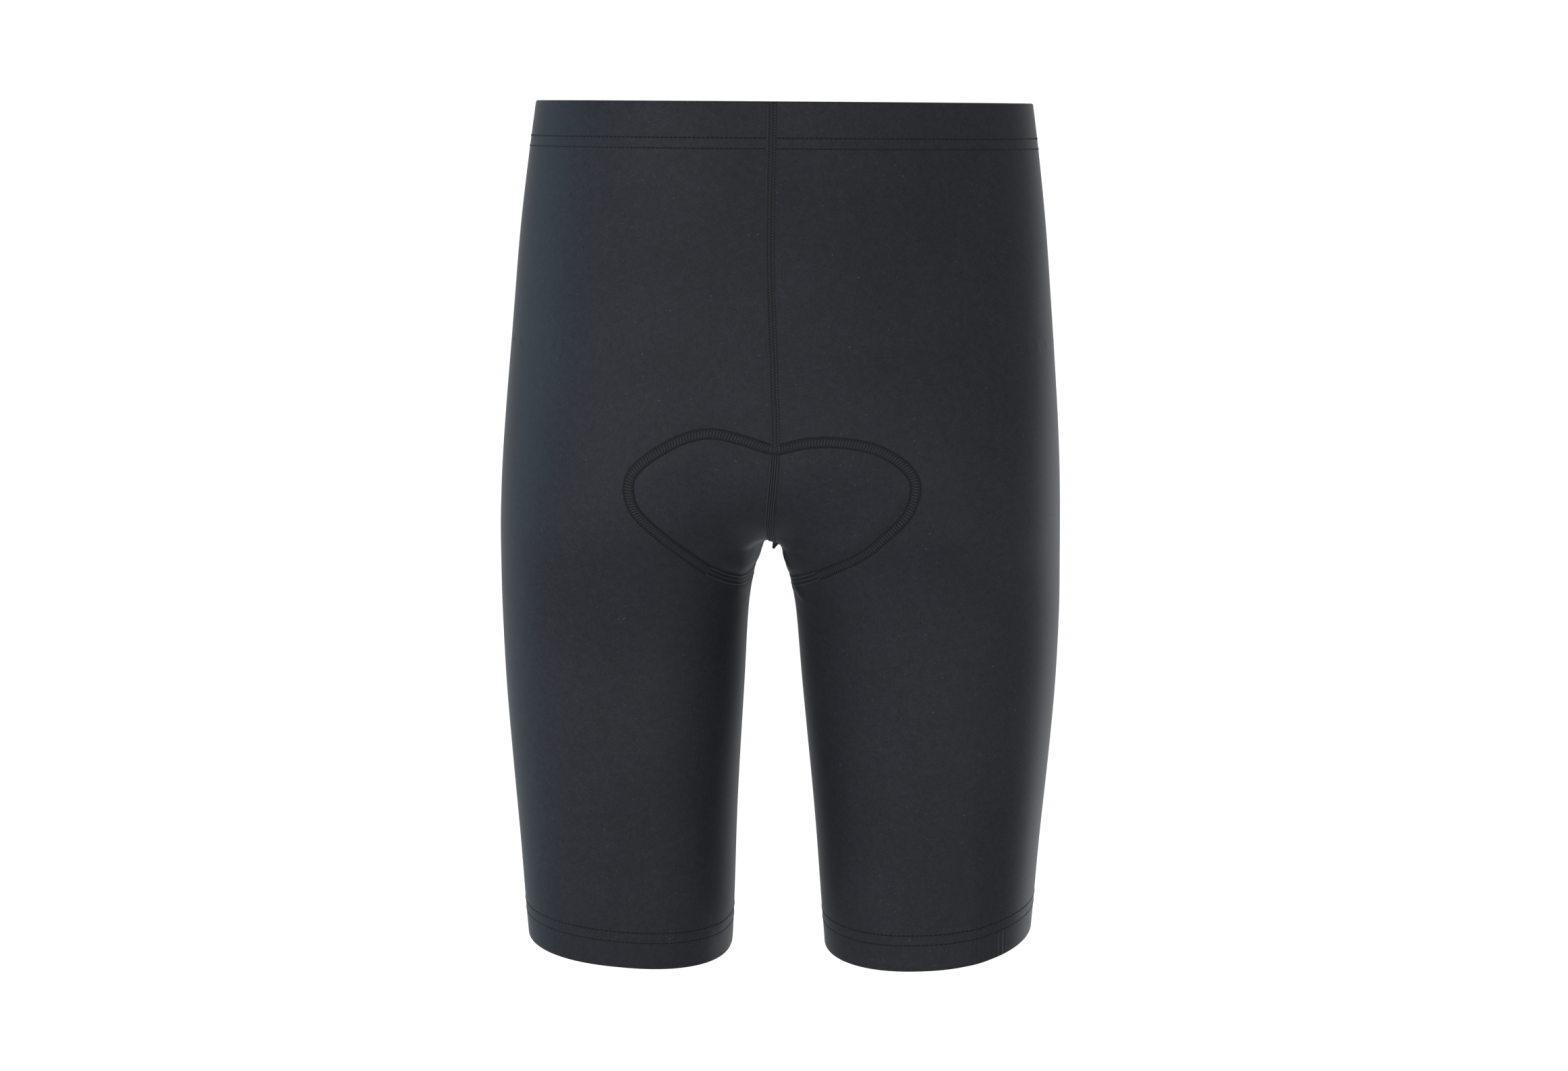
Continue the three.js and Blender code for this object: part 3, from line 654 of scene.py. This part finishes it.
# Seam paths: points, tangents, normals and sides at even steps
def path_of(p, closed=False):
    q = np.concatenate([p, p[:1]]) if closed else p
    s = np.concatenate([[0], np.cumsum(np.linalg.norm(np.diff(q, axis=0), axis=1))])
    count = max(4, round(s[-1] / PATH_STEP))
    at = np.linspace(0, s[-1], count + 1)
    at = at[:-1] if closed else at
    q = project(np.stack([np.interp(at, s, q[:, k]) for k in range(3)], -1))
    n = normals(q)
    if closed:
        t = np.roll(q, -1, 0) - np.roll(q, 1, 0)
    else:
        t = np.gradient(q, axis=0)
    t = unit(t - n * (t * n).sum(-1, keepdims=True))
    return {"p": q, "t": t, "n": n, "s": np.cross(t, n), "closed": closed, "length": float(s[-1])}


def lifted(p, height):
    return p + normals(p) * (relief(p) + height)[..., None]


def sweep(path, section, narrow=1.0, raised=0.0, aside=0.0):
    """Closed section of (side, height) points carried along a path over the cloth."""
    rings = []
    count = len(path["p"])
    narrow, raised = np.broadcast_to(narrow, count), np.broadcast_to(raised, count)
    for side, height in section:
        q = project(path["p"] + path["s"] * (side * narrow + aside)[:, None], steps=3)
        rings.append(lifted(q, height + (raised if height > 0 else 0)))
    verts = np.stack(rings, 1)
    count, width = verts.shape[:2]
    faces = []
    steps = count if path["closed"] else count - 1
    for i in range(steps):
        k = (i + 1) % count
        for j in range(width):
            m = (j + 1) % width
            faces.append([i * width + j, i * width + m, k * width + m, k * width + j])
    if not path["closed"]:
        faces.append(list(range(width))[::-1])
        faces.append([(count - 1) * width + j for j in range(width)])
    return verts.reshape(-1, 3), faces


def bead(segments, rings):
    """Unit bead: long axis x, with its ends at -1 and 1."""
    verts, faces = [(-1.0, 0.0, 0.0)], []
    for r in range(1, rings + 1):
        a = math.pi * r / (rings + 1)
        for k in range(segments):
            b = 2 * math.pi * k / segments
            verts.append((-math.cos(a), math.sin(a) * math.cos(b), math.sin(a) * math.sin(b)))
    verts.append((1.0, 0.0, 0.0))
    last = len(verts) - 1
    for k in range(segments):
        m = (k + 1) % segments
        faces.append([0, 1 + m, 1 + k])
        for r in range(rings - 1):
            a, b = 1 + r * segments, 1 + (r + 1) * segments
            faces.append([a + k, a + m, b + m, b + k])
        faces.append([1 + (rings - 1) * segments + k, 1 + (rings - 1) * segments + m, last])
    return np.array(verts), faces


BEAD = bead(6, 3)


def beads(p, along, across, normal, half):
    """One bead at each point: half lengths along, across and up."""
    verts, faces = BEAD
    half = np.broadcast_to(np.asarray(half, float), (len(p), 3))
    out = (p[:, None] + along[:, None] * (verts[None, :, :1] * half[:, None, :1])
           + across[:, None] * (verts[None, :, 1:2] * half[:, None, 1:2])
           + normal[:, None] * (verts[None, :, 2:] * half[:, None, 2:]))
    count = len(verts)
    made = []
    for k in range(len(p)):
        base = k * count
        made += [[base + i for i in f] for f in faces]
    return out.reshape(-1, 3), made


def stitch_row(path, pitch, side, height, half, slant=0.0, phase=0.0, keep=None):
    """A row of stitches beside a path, on top of the cloth, where keep(points) is true."""
    count = len(path["p"])
    total = path["length"]
    number = max(1, round(total / pitch))
    at = (np.arange(number) + 0.5 + phase) / number * (count if path["closed"] else count - 1)
    at = at[at < count - (0 if path["closed"] else 1)]

    def look(key):
        a = path[key]
        i = np.floor(at).astype(int)
        f = (at - i)[:, None]
        return a[i % count] * (1 - f) + a[(i + 1) % count] * f

    s, t = unit(look("s")), unit(look("t"))
    q = project(look("p") + s * side, steps=3)
    n = normals(q)
    t = unit(t - n * (t * n).sum(-1, keepdims=True))
    across = np.cross(n, t)
    along = unit(t * math.cos(slant) + across * math.sin(slant))
    across = np.cross(n, along)
    kept = np.ones(len(q), bool) if keep is None else keep(q)
    return beads(lifted(q[kept], height), along[kept], across[kept], n[kept], half)


def together(parts):
    verts, faces, base = [], [], 0
    for v, f in parts:
        verts.append(v)
        faces += [[base + i for i in face] for face in f]
        base += len(v)
    return np.concatenate(verts), faces


# A flatlock seam's base: a low rounded band
BASE = [(-2.9, 0.0), (-2.9, 0.12), (-2.5, 0.28), (-1.4, 0.36), (0, 0.38),
        (1.4, 0.36), (2.5, 0.28), (2.9, 0.12), (2.9, 0.0), (0, -0.1)]
# The line that a row of coverstitch presses in, laid as a thin strip in painted shade
GROOVE = [(-0.36, -0.1), (-0.3, 0.05), (0, 0.07), (0.3, 0.05), (0.36, -0.1)]


def rib(side, radius, height):
    return [(side + radius * math.cos(a), height + radius * math.sin(a))
            for a in np.linspace(0, 2 * math.pi, 7)[:-1]]


def flatlock(path, sunk=0.0):
    """Cover threads along the edges and the middle, with two rows of needle stitches between them."""
    cover = [stitch_row(path, FLATLOCK_PITCH, side, EDGE_UP - sunk, EDGE_THREAD, 0.0, 0.5)
             for side in (-EDGE_SIDE, EDGE_SIDE)]
    cover.append(stitch_row(path, FLATLOCK_PITCH, 0.0, NEEDLE_UP - sunk, MIDDLE_THREAD))
    needle = [stitch_row(path, FLATLOCK_PITCH, side, NEEDLE_UP - sunk, NEEDLE_THREAD, 0.0, phase)
              for side, phase in ((-NEEDLE_SIDE, 0.0), (NEEDLE_SIDE, 0.5))]
    return together(cover), together(needle)


def ladder(path):
    """Cross threads between two rows of needle stitches, as on the pad's outline; plain at the thighs."""

    def open_part(q):
        return (np.abs(q[:, 0]) > LADDER_ASIDE) | (q[:, 2] > LADDER_LOW)

    slant = math.radians(RUNG_SLANT)
    rungs = stitch_row(path, LADDER_PITCH, 0.0, RUNG_UP, RUNG_THREAD, slant, 0.0, open_part)
    rails = [stitch_row(path, LADDER_PITCH, side, RAIL_UP, RAIL_THREAD, 0.0, 0.5, open_part)
             for side in (-RAIL_SIDE, RAIL_SIDE)]
    plain = ~open_part(path["p"])
    ribs = [sweep(path, rib(side, 0.75, -0.1), 1.0, np.where(plain, 0.0, -1.2)) for side in (-2.5, 0, 2.5)]
    return together([rungs] + ribs), together(rails)


# Materials: procedural, with constants set on the shader itself
COOL = (0.9, 0.94, 1.0)   # tint of the threads' sheen


def material(name, roughness, specular=0.5, sheen=0.0, sheen_roughness=0.5, tint=(1, 1, 1)):
    made = bpy.data.materials.new(name)
    made.use_nodes = True
    nodes, links = made.node_tree.nodes, made.node_tree.links
    shader = nodes["Principled BSDF"]
    shader.inputs["Roughness"].default_value = roughness
    shader.inputs["Specular IOR Level"].default_value = specular
    shader.inputs["Sheen Weight"].default_value = sheen
    shader.inputs["Sheen Roughness"].default_value = sheen_roughness
    shader.inputs["Sheen Tint"].default_value = (*tint, 1)
    return made, nodes, links, shader


def noise(nodes, links, place, scale, detail=2.0, rough=0.5):
    node = nodes.new("ShaderNodeTexNoise")
    node.inputs["Scale"].default_value = scale
    node.inputs["Detail"].default_value = detail
    node.inputs["Roughness"].default_value = rough
    links.new(place, node.inputs["Vector"])
    return node.outputs["Fac"]


def colours(nodes, links, factor, stops):
    node = nodes.new("ShaderNodeValToRGB")
    while len(node.color_ramp.elements) < len(stops):
        node.color_ramp.elements.new(0.5)
    for element, (at, colour) in zip(node.color_ramp.elements, stops):
        element.position = at
        element.color = (*colour, 1)
    links.new(factor, node.inputs["Fac"])
    return node.outputs["Color"]


def mixed(nodes, links, factor, a, b, way="MIX"):
    node = nodes.new("ShaderNodeMix")
    node.data_type = "RGBA"
    node.blend_type = way
    for socket, value in ((node.inputs["Factor"], factor), (node.inputs["A"], a), (node.inputs["B"], b)):
        if isinstance(value, (int, float)):
            socket.default_value = value
        elif isinstance(value, tuple):
            socket.default_value = (*value, 1)
        else:
            links.new(value, socket)
    return node.outputs["Result"]


def object_place(nodes):
    return nodes.new("ShaderNodeTexCoord").outputs["Object"]


def bumped(nodes, links, shader, height, strength, distance):
    node = nodes.new("ShaderNodeBump")
    node.inputs["Strength"].default_value = strength
    node.inputs["Distance"].default_value = distance
    links.new(height, node.inputs["Height"])
    links.new(node.outputs["Normal"], shader.inputs["Normal"])


def math_node(nodes, links, operation, *values):
    node = nodes.new("ShaderNodeMath")
    node.operation = operation
    for socket, value in zip(node.inputs, values):
        if isinstance(value, (int, float)):
            socket.default_value = value
        else:
            links.new(value, socket)
    return node.outputs["Value"]


def ripples(nodes, links, place):
    """Fine upright ripples where the right hem is gathered, beside the crease."""
    parts = nodes.new("ShaderNodeSeparateXYZ")
    links.new(place, parts.inputs["Vector"])

    def node(operation, *values):
        return math_node(nodes, links, operation, *values)

    def near(axis, middle, half):
        away = node("ABSOLUTE", node("SUBTRACT", parts.outputs[axis], middle))
        return node("MAXIMUM", node("SUBTRACT", 1.0, node("DIVIDE", away, half)), 0.0)

    waves = node("SINE", node("MULTIPLY", parts.outputs["X"], RIPPLE_WAVE))
    inside = node("MULTIPLY", near("X", *RIPPLE_X), near("Z", *RIPPLE_Z))
    inside = node("MULTIPLY", inside, node("LESS_THAN", parts.outputs["Y"], 0.0))
    return node("MULTIPLY", node("MULTIPLY", waves, inside), RIPPLE)


def jersey_material():
    made, nodes, links, shader = material("jersey", 0.56, 0.045, 0.07, 0.32, (0.86, 0.92, 1.0))
    place = object_place(nodes)
    broad = noise(nodes, links, place, 9.0, 3.0, 0.55)
    base = colours(nodes, links, broad, [(0.35, (0.0087, 0.0092, 0.0114)), (0.65, (0.0105, 0.0111, 0.0135))])
    grain = noise(nodes, links, place, 900.0, 2.0, 0.6)
    fine = colours(nodes, links, grain, [(0.3, (0.82, 0.82, 0.82)), (0.7, (1.2, 1.2, 1.2))])
    base = mixed(nodes, links, 1.0, base, fine, "MULTIPLY")
    mottle = noise(nodes, links, place, 240.0, 3.0, 0.6)
    soft = colours(nodes, links, mottle, [(0.3, (0.9, 0.9, 0.9)), (0.7, (1.1, 1.1, 1.1))])
    base = mixed(nodes, links, 1.0, base, soft, "MULTIPLY")
    lint = noise(nodes, links, place, 800.0, 0.0, 0.4)
    speck = colours(nodes, links, lint, [(0.83, (0, 0, 0)), (0.88, (1, 1, 1))])
    base = mixed(nodes, links, speck, base, (0.026, 0.028, 0.032))
    links.new(base, shader.inputs["Base Color"])
    height = math_node(nodes, links, "ADD", grain, ripples(nodes, links, place))
    bumped(nodes, links, shader, height, 0.25, 0.0003)
    return made


def spun(name, gloss, scale, dark, light, strength, distance):
    """Thread or woven band whose colour and bump share one fine noise."""
    made, nodes, links, shader = material(name, *gloss, COOL)
    twist = noise(nodes, links, object_place(nodes), scale, 2.0, 0.6)
    links.new(colours(nodes, links, twist, [dark, light]), shader.inputs["Base Color"])
    bumped(nodes, links, shader, twist, strength, distance)
    return made


def thread_material():
    dark, light = (0.35, (0.0104, 0.0106, 0.0128)), (0.7, (0.0140, 0.0143, 0.0170))
    return spun("thread", (0.6, 0.07, 0.05, 0.4), 1500.0, dark, light, 0.4, 0.0002)


def seam_material():
    dark, light = (0.3, (0.0070, 0.0071, 0.0086)), (0.7, (0.0100, 0.0102, 0.0122))
    return spun("seam_band", (0.6, 0.05, 0.06, 0.35), 1100.0, dark, light, 0.3, 0.0003)


# The black thread darkened with painted shade, for stitches whose needle holes and grooves lie in shade
def shaded_thread_material():
    dark, light = (0.35, (0.0022, 0.0023, 0.0028)), (0.7, (0.0046, 0.0048, 0.0056))
    return spun("thread_painted_shade", (0.7, 0.06, 0.03, 0.5), 1500.0, dark, light, 0.4, 0.0002)


def shade_and_tape_material():
    """Very dark colour: painted shade for the line beside a pressed-in row of stitches, also given to the
    pad's tape.
    """
    made, nodes, links, shader = material("stitch_line", 0.6, 0.05, 0.05, 0.4, COOL)
    shader.inputs["Base Color"].default_value = (0.0058, 0.0059, 0.0071, 1)
    return made


def fleece_material():
    made, nodes, links, shader = material("pad_fleece", 0.95, 0.1, 0.8, 0.7, (0.9, 0.93, 1.0))
    place = object_place(nodes)
    pile = noise(nodes, links, place, 420.0, 5.0, 0.7)
    patches = noise(nodes, links, place, 35.0, 3.0, 0.6)
    base = colours(nodes, links, patches, [(0.3, (0.050, 0.054, 0.062)), (0.7, (0.078, 0.083, 0.093))])
    shade = colours(nodes, links, pile, [(0.3, (0.7, 0.7, 0.7)), (0.75, (1.25, 1.25, 1.25))])
    base = mixed(nodes, links, 1.0, base, shade, "MULTIPLY")
    links.new(base, shader.inputs["Base Color"])
    bumped(nodes, links, shader, pile, 0.8, 0.0012)
    return made


# The floor, in metres: half its width, its height, and where its painted shadow ends and its pale part
# begins
FLOOR_HALF, FLOOR_Z, PAINTED_SHADOW_TO, PALE_FROM = 30.0, -1.05, 0.4, 1.25


def floor_material():
    made, nodes, links, shader = material("floor", 0.9, 0.1)
    place = object_place(nodes)
    distance = nodes.new("ShaderNodeVectorMath")
    distance.operation = "LENGTH"
    links.new(place, distance.inputs[0])
    reach = nodes.new("ShaderNodeMapRange")
    reach.inputs["From Min"].default_value = PAINTED_SHADOW_TO
    reach.inputs["From Max"].default_value = PALE_FROM
    reach.interpolation_type = "SMOOTHSTEP"
    links.new(distance.outputs["Value"], reach.inputs["Value"])
    # The middle of the floor is darker: a painted shadow under the garment, fading into the pale floor
    painted_shadow, pale = (0.0, (0.40, 0.40, 0.41)), (1.0, (0.95, 0.95, 0.95))
    base = colours(nodes, links, reach.outputs["Result"], [painted_shadow, pale])
    links.new(base, shader.inputs["Base Color"])
    return made


CLOTH, THREAD, SHADED_THREAD = jersey_material(), thread_material(), shaded_thread_material()
SEAM, LINE, FLEECE = seam_material(), shade_and_tape_material(), fleece_material()


# The garment
def add_panels():
    grid = panel_grid()
    right = shell(*panel_layers(grid), False)
    verts, faces = shell(*panel_layers(grid * MIRROR), False)
    made = [make("cloth_right", *right, CLOTH, "jersey", ["panel_right"]),
            make("cloth_left", verts, [f[::-1] for f in faces], CLOTH, "jersey", ["panel_left"])]


def add_turned_edges():
    outer, inner = turned_in(waist_ring, 1, BAND_FOLD, BAND_UNDER, 10)
    verts, faces = shell(outer, inner, True)
    band = make("waist_casing", verts, [f[::-1] for f in faces], CLOTH, "band", ["waistband"])
    for side, ring in (("right", hem_ring), ("left", left_hem_ring)):
        outer, inner = turned_in(ring, -1, HEM_FOLD, HEM_UNDER, 9)
        hem = make("hem_turning_" + side, *shell(outer, inner, True), CLOTH, "jersey", ["hem_" + side])


def add_pad():
    along, out, share = pad_ring(PAD_SIDES)
    along, out = skewed(along, out)
    spine = PAD_SPINE[0] + (PAD_SPINE[1] - PAD_SPINE[0]) * share
    outer, inner = [], []
    for ring in range(PAD_RINGS + 1):
        v = (ring / PAD_RINGS) ** RING_CROWDING
        a, o = spine + (along - spine) * v, out * v
        place = pad_points(a, o)
        n = normals(place)
        rounded = PAD_LIP + (1 - PAD_LIP) * ramp((1 - v) / PAD_ROUNDING)
        thickness = (PAD_EDGE + (PAD_CORE - PAD_EDGE) * (1 - v**2)) * rounded
        channel = CHANNEL_DEPTH * bump(o / CHANNEL_HALF) * bump((a - CHANNEL_MIDDLE) / CHANNEL_REACH)
        quilting = QUILT_DEPTH * bump((v - QUILT_AT) / QUILT_HALF)
        thickness = np.maximum(thickness - (channel + quilting), PAD_LEAST)
        base = (relief(place) - PAD_OUTER)[:, None]
        outer.append(place + n * base)
        inner.append(place + n * (base - thickness[:, None]))
    outer, inner = np.array(outer), np.array(inner)
    verts, faces = shell(outer, inner, True)
    pad = make("seat_pad", verts, faces, FLEECE, "pad", ["pad"])


def centre_path(start, end):
    steps = np.linspace(start, end, max(8, int(abs(end - start) / 2)))
    return path_of(centre_points(steps))


def seam_pieces(name, band, cover, needle, replaces, base=SEAM, dark=SHADED_THREAD):
    make(name.replace("seam_", "flatlock_", 1), *band, base, "thread", replaces)
    make(name.replace("seam_", "stitches_", 1), *cover, THREAD, "thread")
    # The needle rows take the thread darkened with painted shade unless given another colour
    make(name.replace("seam_", "needle_rows_", 1), *needle, dark, "thread")


def add_seams():
    top_back = float(np.interp(BAND_HEIGHT / 2 - TAPE_SHORT, LINES[-1][0], LINES[-1][2]))
    front_y = float(waist_ring(0.0)[WAIST_COLUMNS][1])
    front_z = waist_line(front_y) + BAND_HEIGHT - TAPE_SHORT
    top_front = float(np.interp(front_z, LINES[1][0], LINES[1][2]))
    back = centre_path(-top_back, NOTCH + PAD_GAP)
    seam_pieces("seam_back", sweep(back, BASE), *flatlock(back), ["seam_back"])
    front = centre_path(FRONT_END - PAD_GAP, top_front)
    seam_pieces("seam_front", sweep(front, BASE), *flatlock(front), ["seam_front"])
    start, end = NOTCH + CROTCH_GAP, FRONT_END - CROTCH_GAP
    crotch = centre_path(start, end)
    along = start + np.linspace(0, 1, len(crotch["p"])) * (end - start)
    narrow = 1 - NARROWED * bump((along - SPIKE_AT) / NARROWED_HALF)
    hang = SPIKE * bump((along - SPIKE_AT) / SPIKE_HALF)
    run = (narrow, hang, AWAY * bump((along - AWAY_AT) / AWAY_HALF))
    ribs = [sweep(crotch, rib(side, 0.52, 0.34), *run) for side in (-2.1, -0.7, 0.7, 2.1)]
    # Thin ribs in the grooves between them, in thread darkened with painted shade
    dark = [sweep(crotch, rib(side, 0.3, 0.34), *run) for side in (-1.4, 0, 1.4)]
    band = sweep(crotch, BASE, *run)
    seam_pieces("seam_crotch", band, together(ribs), together(dark), ["seam_crotch"])
    ring = path_of(OUTLINE, True)
    # The pad's tape takes the very dark colour of the painted-shade lines, and its rails the thread darkened
    # with painted shade
    seam_pieces("seam_pad", sweep(ring, BASE, PAD_TAPE_WIDER), *ladder(ring), ["seam_pad"], LINE)
    low = float(hem_plane(INSEAM_X, 0.0)) + INSEAM_CLEAR
    z = np.linspace(INSEAM_TOP, low, INSEAM_POINTS)
    inseam = path_of(on_ray(z, np.full(z.shape, math.pi)))
    parts = [sweep(inseam, BASE, 1.0, -INSEAM_TAPE_SUNK), *flatlock(inseam, INSEAM_SUNK)]
    seam_pieces("seam_inseam_right", *parts, ["seam_inseam_right"], SEAM, SEAM)
    seam_pieces("seam_inseam_left", *[mirror(*part) for part in parts], ["seam_inseam_left"], SEAM, SEAM)


def coverstitch(rings):
    """Rows of stitches, the upper one heavier, and the line that each row presses into the cloth, as a thin
    strip of painted shade.
    """
    groove_shade_strips = [sweep(ring, GROOVE) for ring in rings]
    rows = [stitch_row(ring, COVERSTITCH_PITCH, 0, 0.06, thread)
            for ring, thread in zip(rings, COVERSTITCH_THREADS)]
    return together(groove_shade_strips), together(rows)


def add_edge_stitches():
    lines, rows = coverstitch([path_of(waist_ring(h - BAND_HEIGHT), True) for h in BAND_ROWS])
    # A thin strip of painted shade along each row, and the rows in thread darkened with painted shade
    make("waist_groove_shade", *lines, LINE, "thread")
    make("waist_stitches", *rows, SHADED_THREAD, "thread")
    for side, ring in (("right", hem_ring), ("left", left_hem_ring)):
        lines, rows = coverstitch([path_of(ring(h), True) for h in HEM_ROWS])
        # A thin strip of painted shade along each row, and the rows in thread darkened with painted shade
        make("hem_groove_shade_" + side, *lines, LINE, "thread")
        make("hem_stitches_" + side, *rows, SHADED_THREAD, "thread")


# Studio
def add_floor():
    mesh = bpy.data.meshes.new("floor")
    corners = [(x * FLOOR_HALF, y * FLOOR_HALF, 0) for x, y in ((-1, -1), (1, -1), (1, 1), (-1, 1))]
    mesh.from_pydata(corners, [], [(0, 1, 2, 3)])
    mesh.materials.append(floor_material())
    floor = bpy.data.objects.new("floor", mesh)
    floor.location = (0, 0, FLOOR_Z)
    bpy.context.scene.collection.objects.link(floor)


# Name, place, target and size in metres, power in watts, colour, and spread in radians
LIGHTS = [
    ("key", (-0.66, -1.15, -0.02), (0, 0, -0.2), (0.7, 1.4), 18.5, (0.97, 0.985, 1.0), math.pi),
    ("fill", (0.9, -1.75, -0.9), (-0.05, 0, -0.45), (0.8, 0.7), 21, (1.0, 0.985, 0.985), math.pi),
    ("left_rim", (-1.82, 0.22, 0.0), (0, 0, -0.25), (0.8, 1.6), 24, (0.36, 0.76, 1.0), math.pi),
    ("hem_side", (0.765, 0.51, -0.72), (0.13, 0, -0.60), (0.12, 0.3), 0.08, (0.92, 0.96, 1.0), 0.5),
    ("right_rim", (1.3, 1.45, -0.6), (0, 0, -0.42), (0.6, 1.1), 8, (0.9, 0.95, 1.0), math.pi),
]
WORLD_STRENGTH = 1.12


def add_light(name, place, target, size, power, colour, spread):
    data = bpy.data.lights.new(name, "AREA")
    data.shape = "RECTANGLE"
    data.size, data.size_y = size
    data.energy, data.spread = power, spread
    data.color = colour
    light = bpy.data.objects.new(name, data)
    light.location = place
    back = np.array(place) - np.array(target)
    side = unit(np.cross((0, 0, 1.0), back))
    up = np.cross(unit(back), side)
    turn = Matrix((side, up, unit(back))).transposed()
    light.rotation_euler = turn.to_euler()
    bpy.context.scene.collection.objects.link(light)


def add_studio():
    world = bpy.data.worlds.new("studio")
    world.use_nodes = True
    background = world.node_tree.nodes["Background"]
    background.inputs["Color"].default_value = (1, 1, 1, 1)
    background.inputs["Strength"].default_value = WORLD_STRENGTH
    bpy.context.scene.world = world
    bpy.context.scene.view_settings.view_transform = "Standard"
    for light in LIGHTS:
        add_light(*light)


# The camera: angles in degrees, places in metres, and the photograph's width and focal length in pixels
CAMERA_TURN, CAMERA_PITCH, CAMERA_ROLL = 3.5, 8.2288, 0.4
CAMERA_DISTANCE, CAMERA_HEIGHT, CAMERA_ASIDE = 1.850, 0.010, 0.001
PHOTO_WIDTH, FOCAL_PIXELS, SENSOR_WIDTH = 2324, 4363.0, 36.0


def add_camera():
    """The photograph's camera: nearly level, from behind, turned a little to the wearer's right."""
    turn, pitch, roll = (math.radians(a) for a in (CAMERA_TURN, CAMERA_PITCH, CAMERA_ROLL))
    right = np.array([math.cos(turn), math.sin(turn), 0])
    ahead = np.array([-math.sin(turn), math.cos(turn), 0])
    forward = ahead * math.cos(pitch) + np.array([0, 0, -math.sin(pitch)])
    up = np.cross(right, forward)
    x = right * math.cos(roll) + up * math.sin(roll)
    y = up * math.cos(roll) - right * math.sin(roll)
    data = bpy.data.cameras.new("camera")
    data.sensor_width = SENSOR_WIDTH
    data.lens = FOCAL_PIXELS / PHOTO_WIDTH * SENSOR_WIDTH
    data.clip_start, data.clip_end = 0.05, 100
    camera = bpy.data.objects.new("camera", data)
    place = -ahead * CAMERA_DISTANCE + right * CAMERA_ASIDE + np.array([0, 0, CAMERA_HEIGHT])
    rotation = Matrix((x, y, -forward)).transposed().to_4x4()
    camera.matrix_world = Matrix.Translation(place) @ rotation
    bpy.context.scene.collection.objects.link(camera)
    bpy.context.scene.camera = camera


add_camera()
add_panels()
add_turned_edges()
add_pad()
add_seams()
add_edge_stitches()
add_floor()
add_studio()
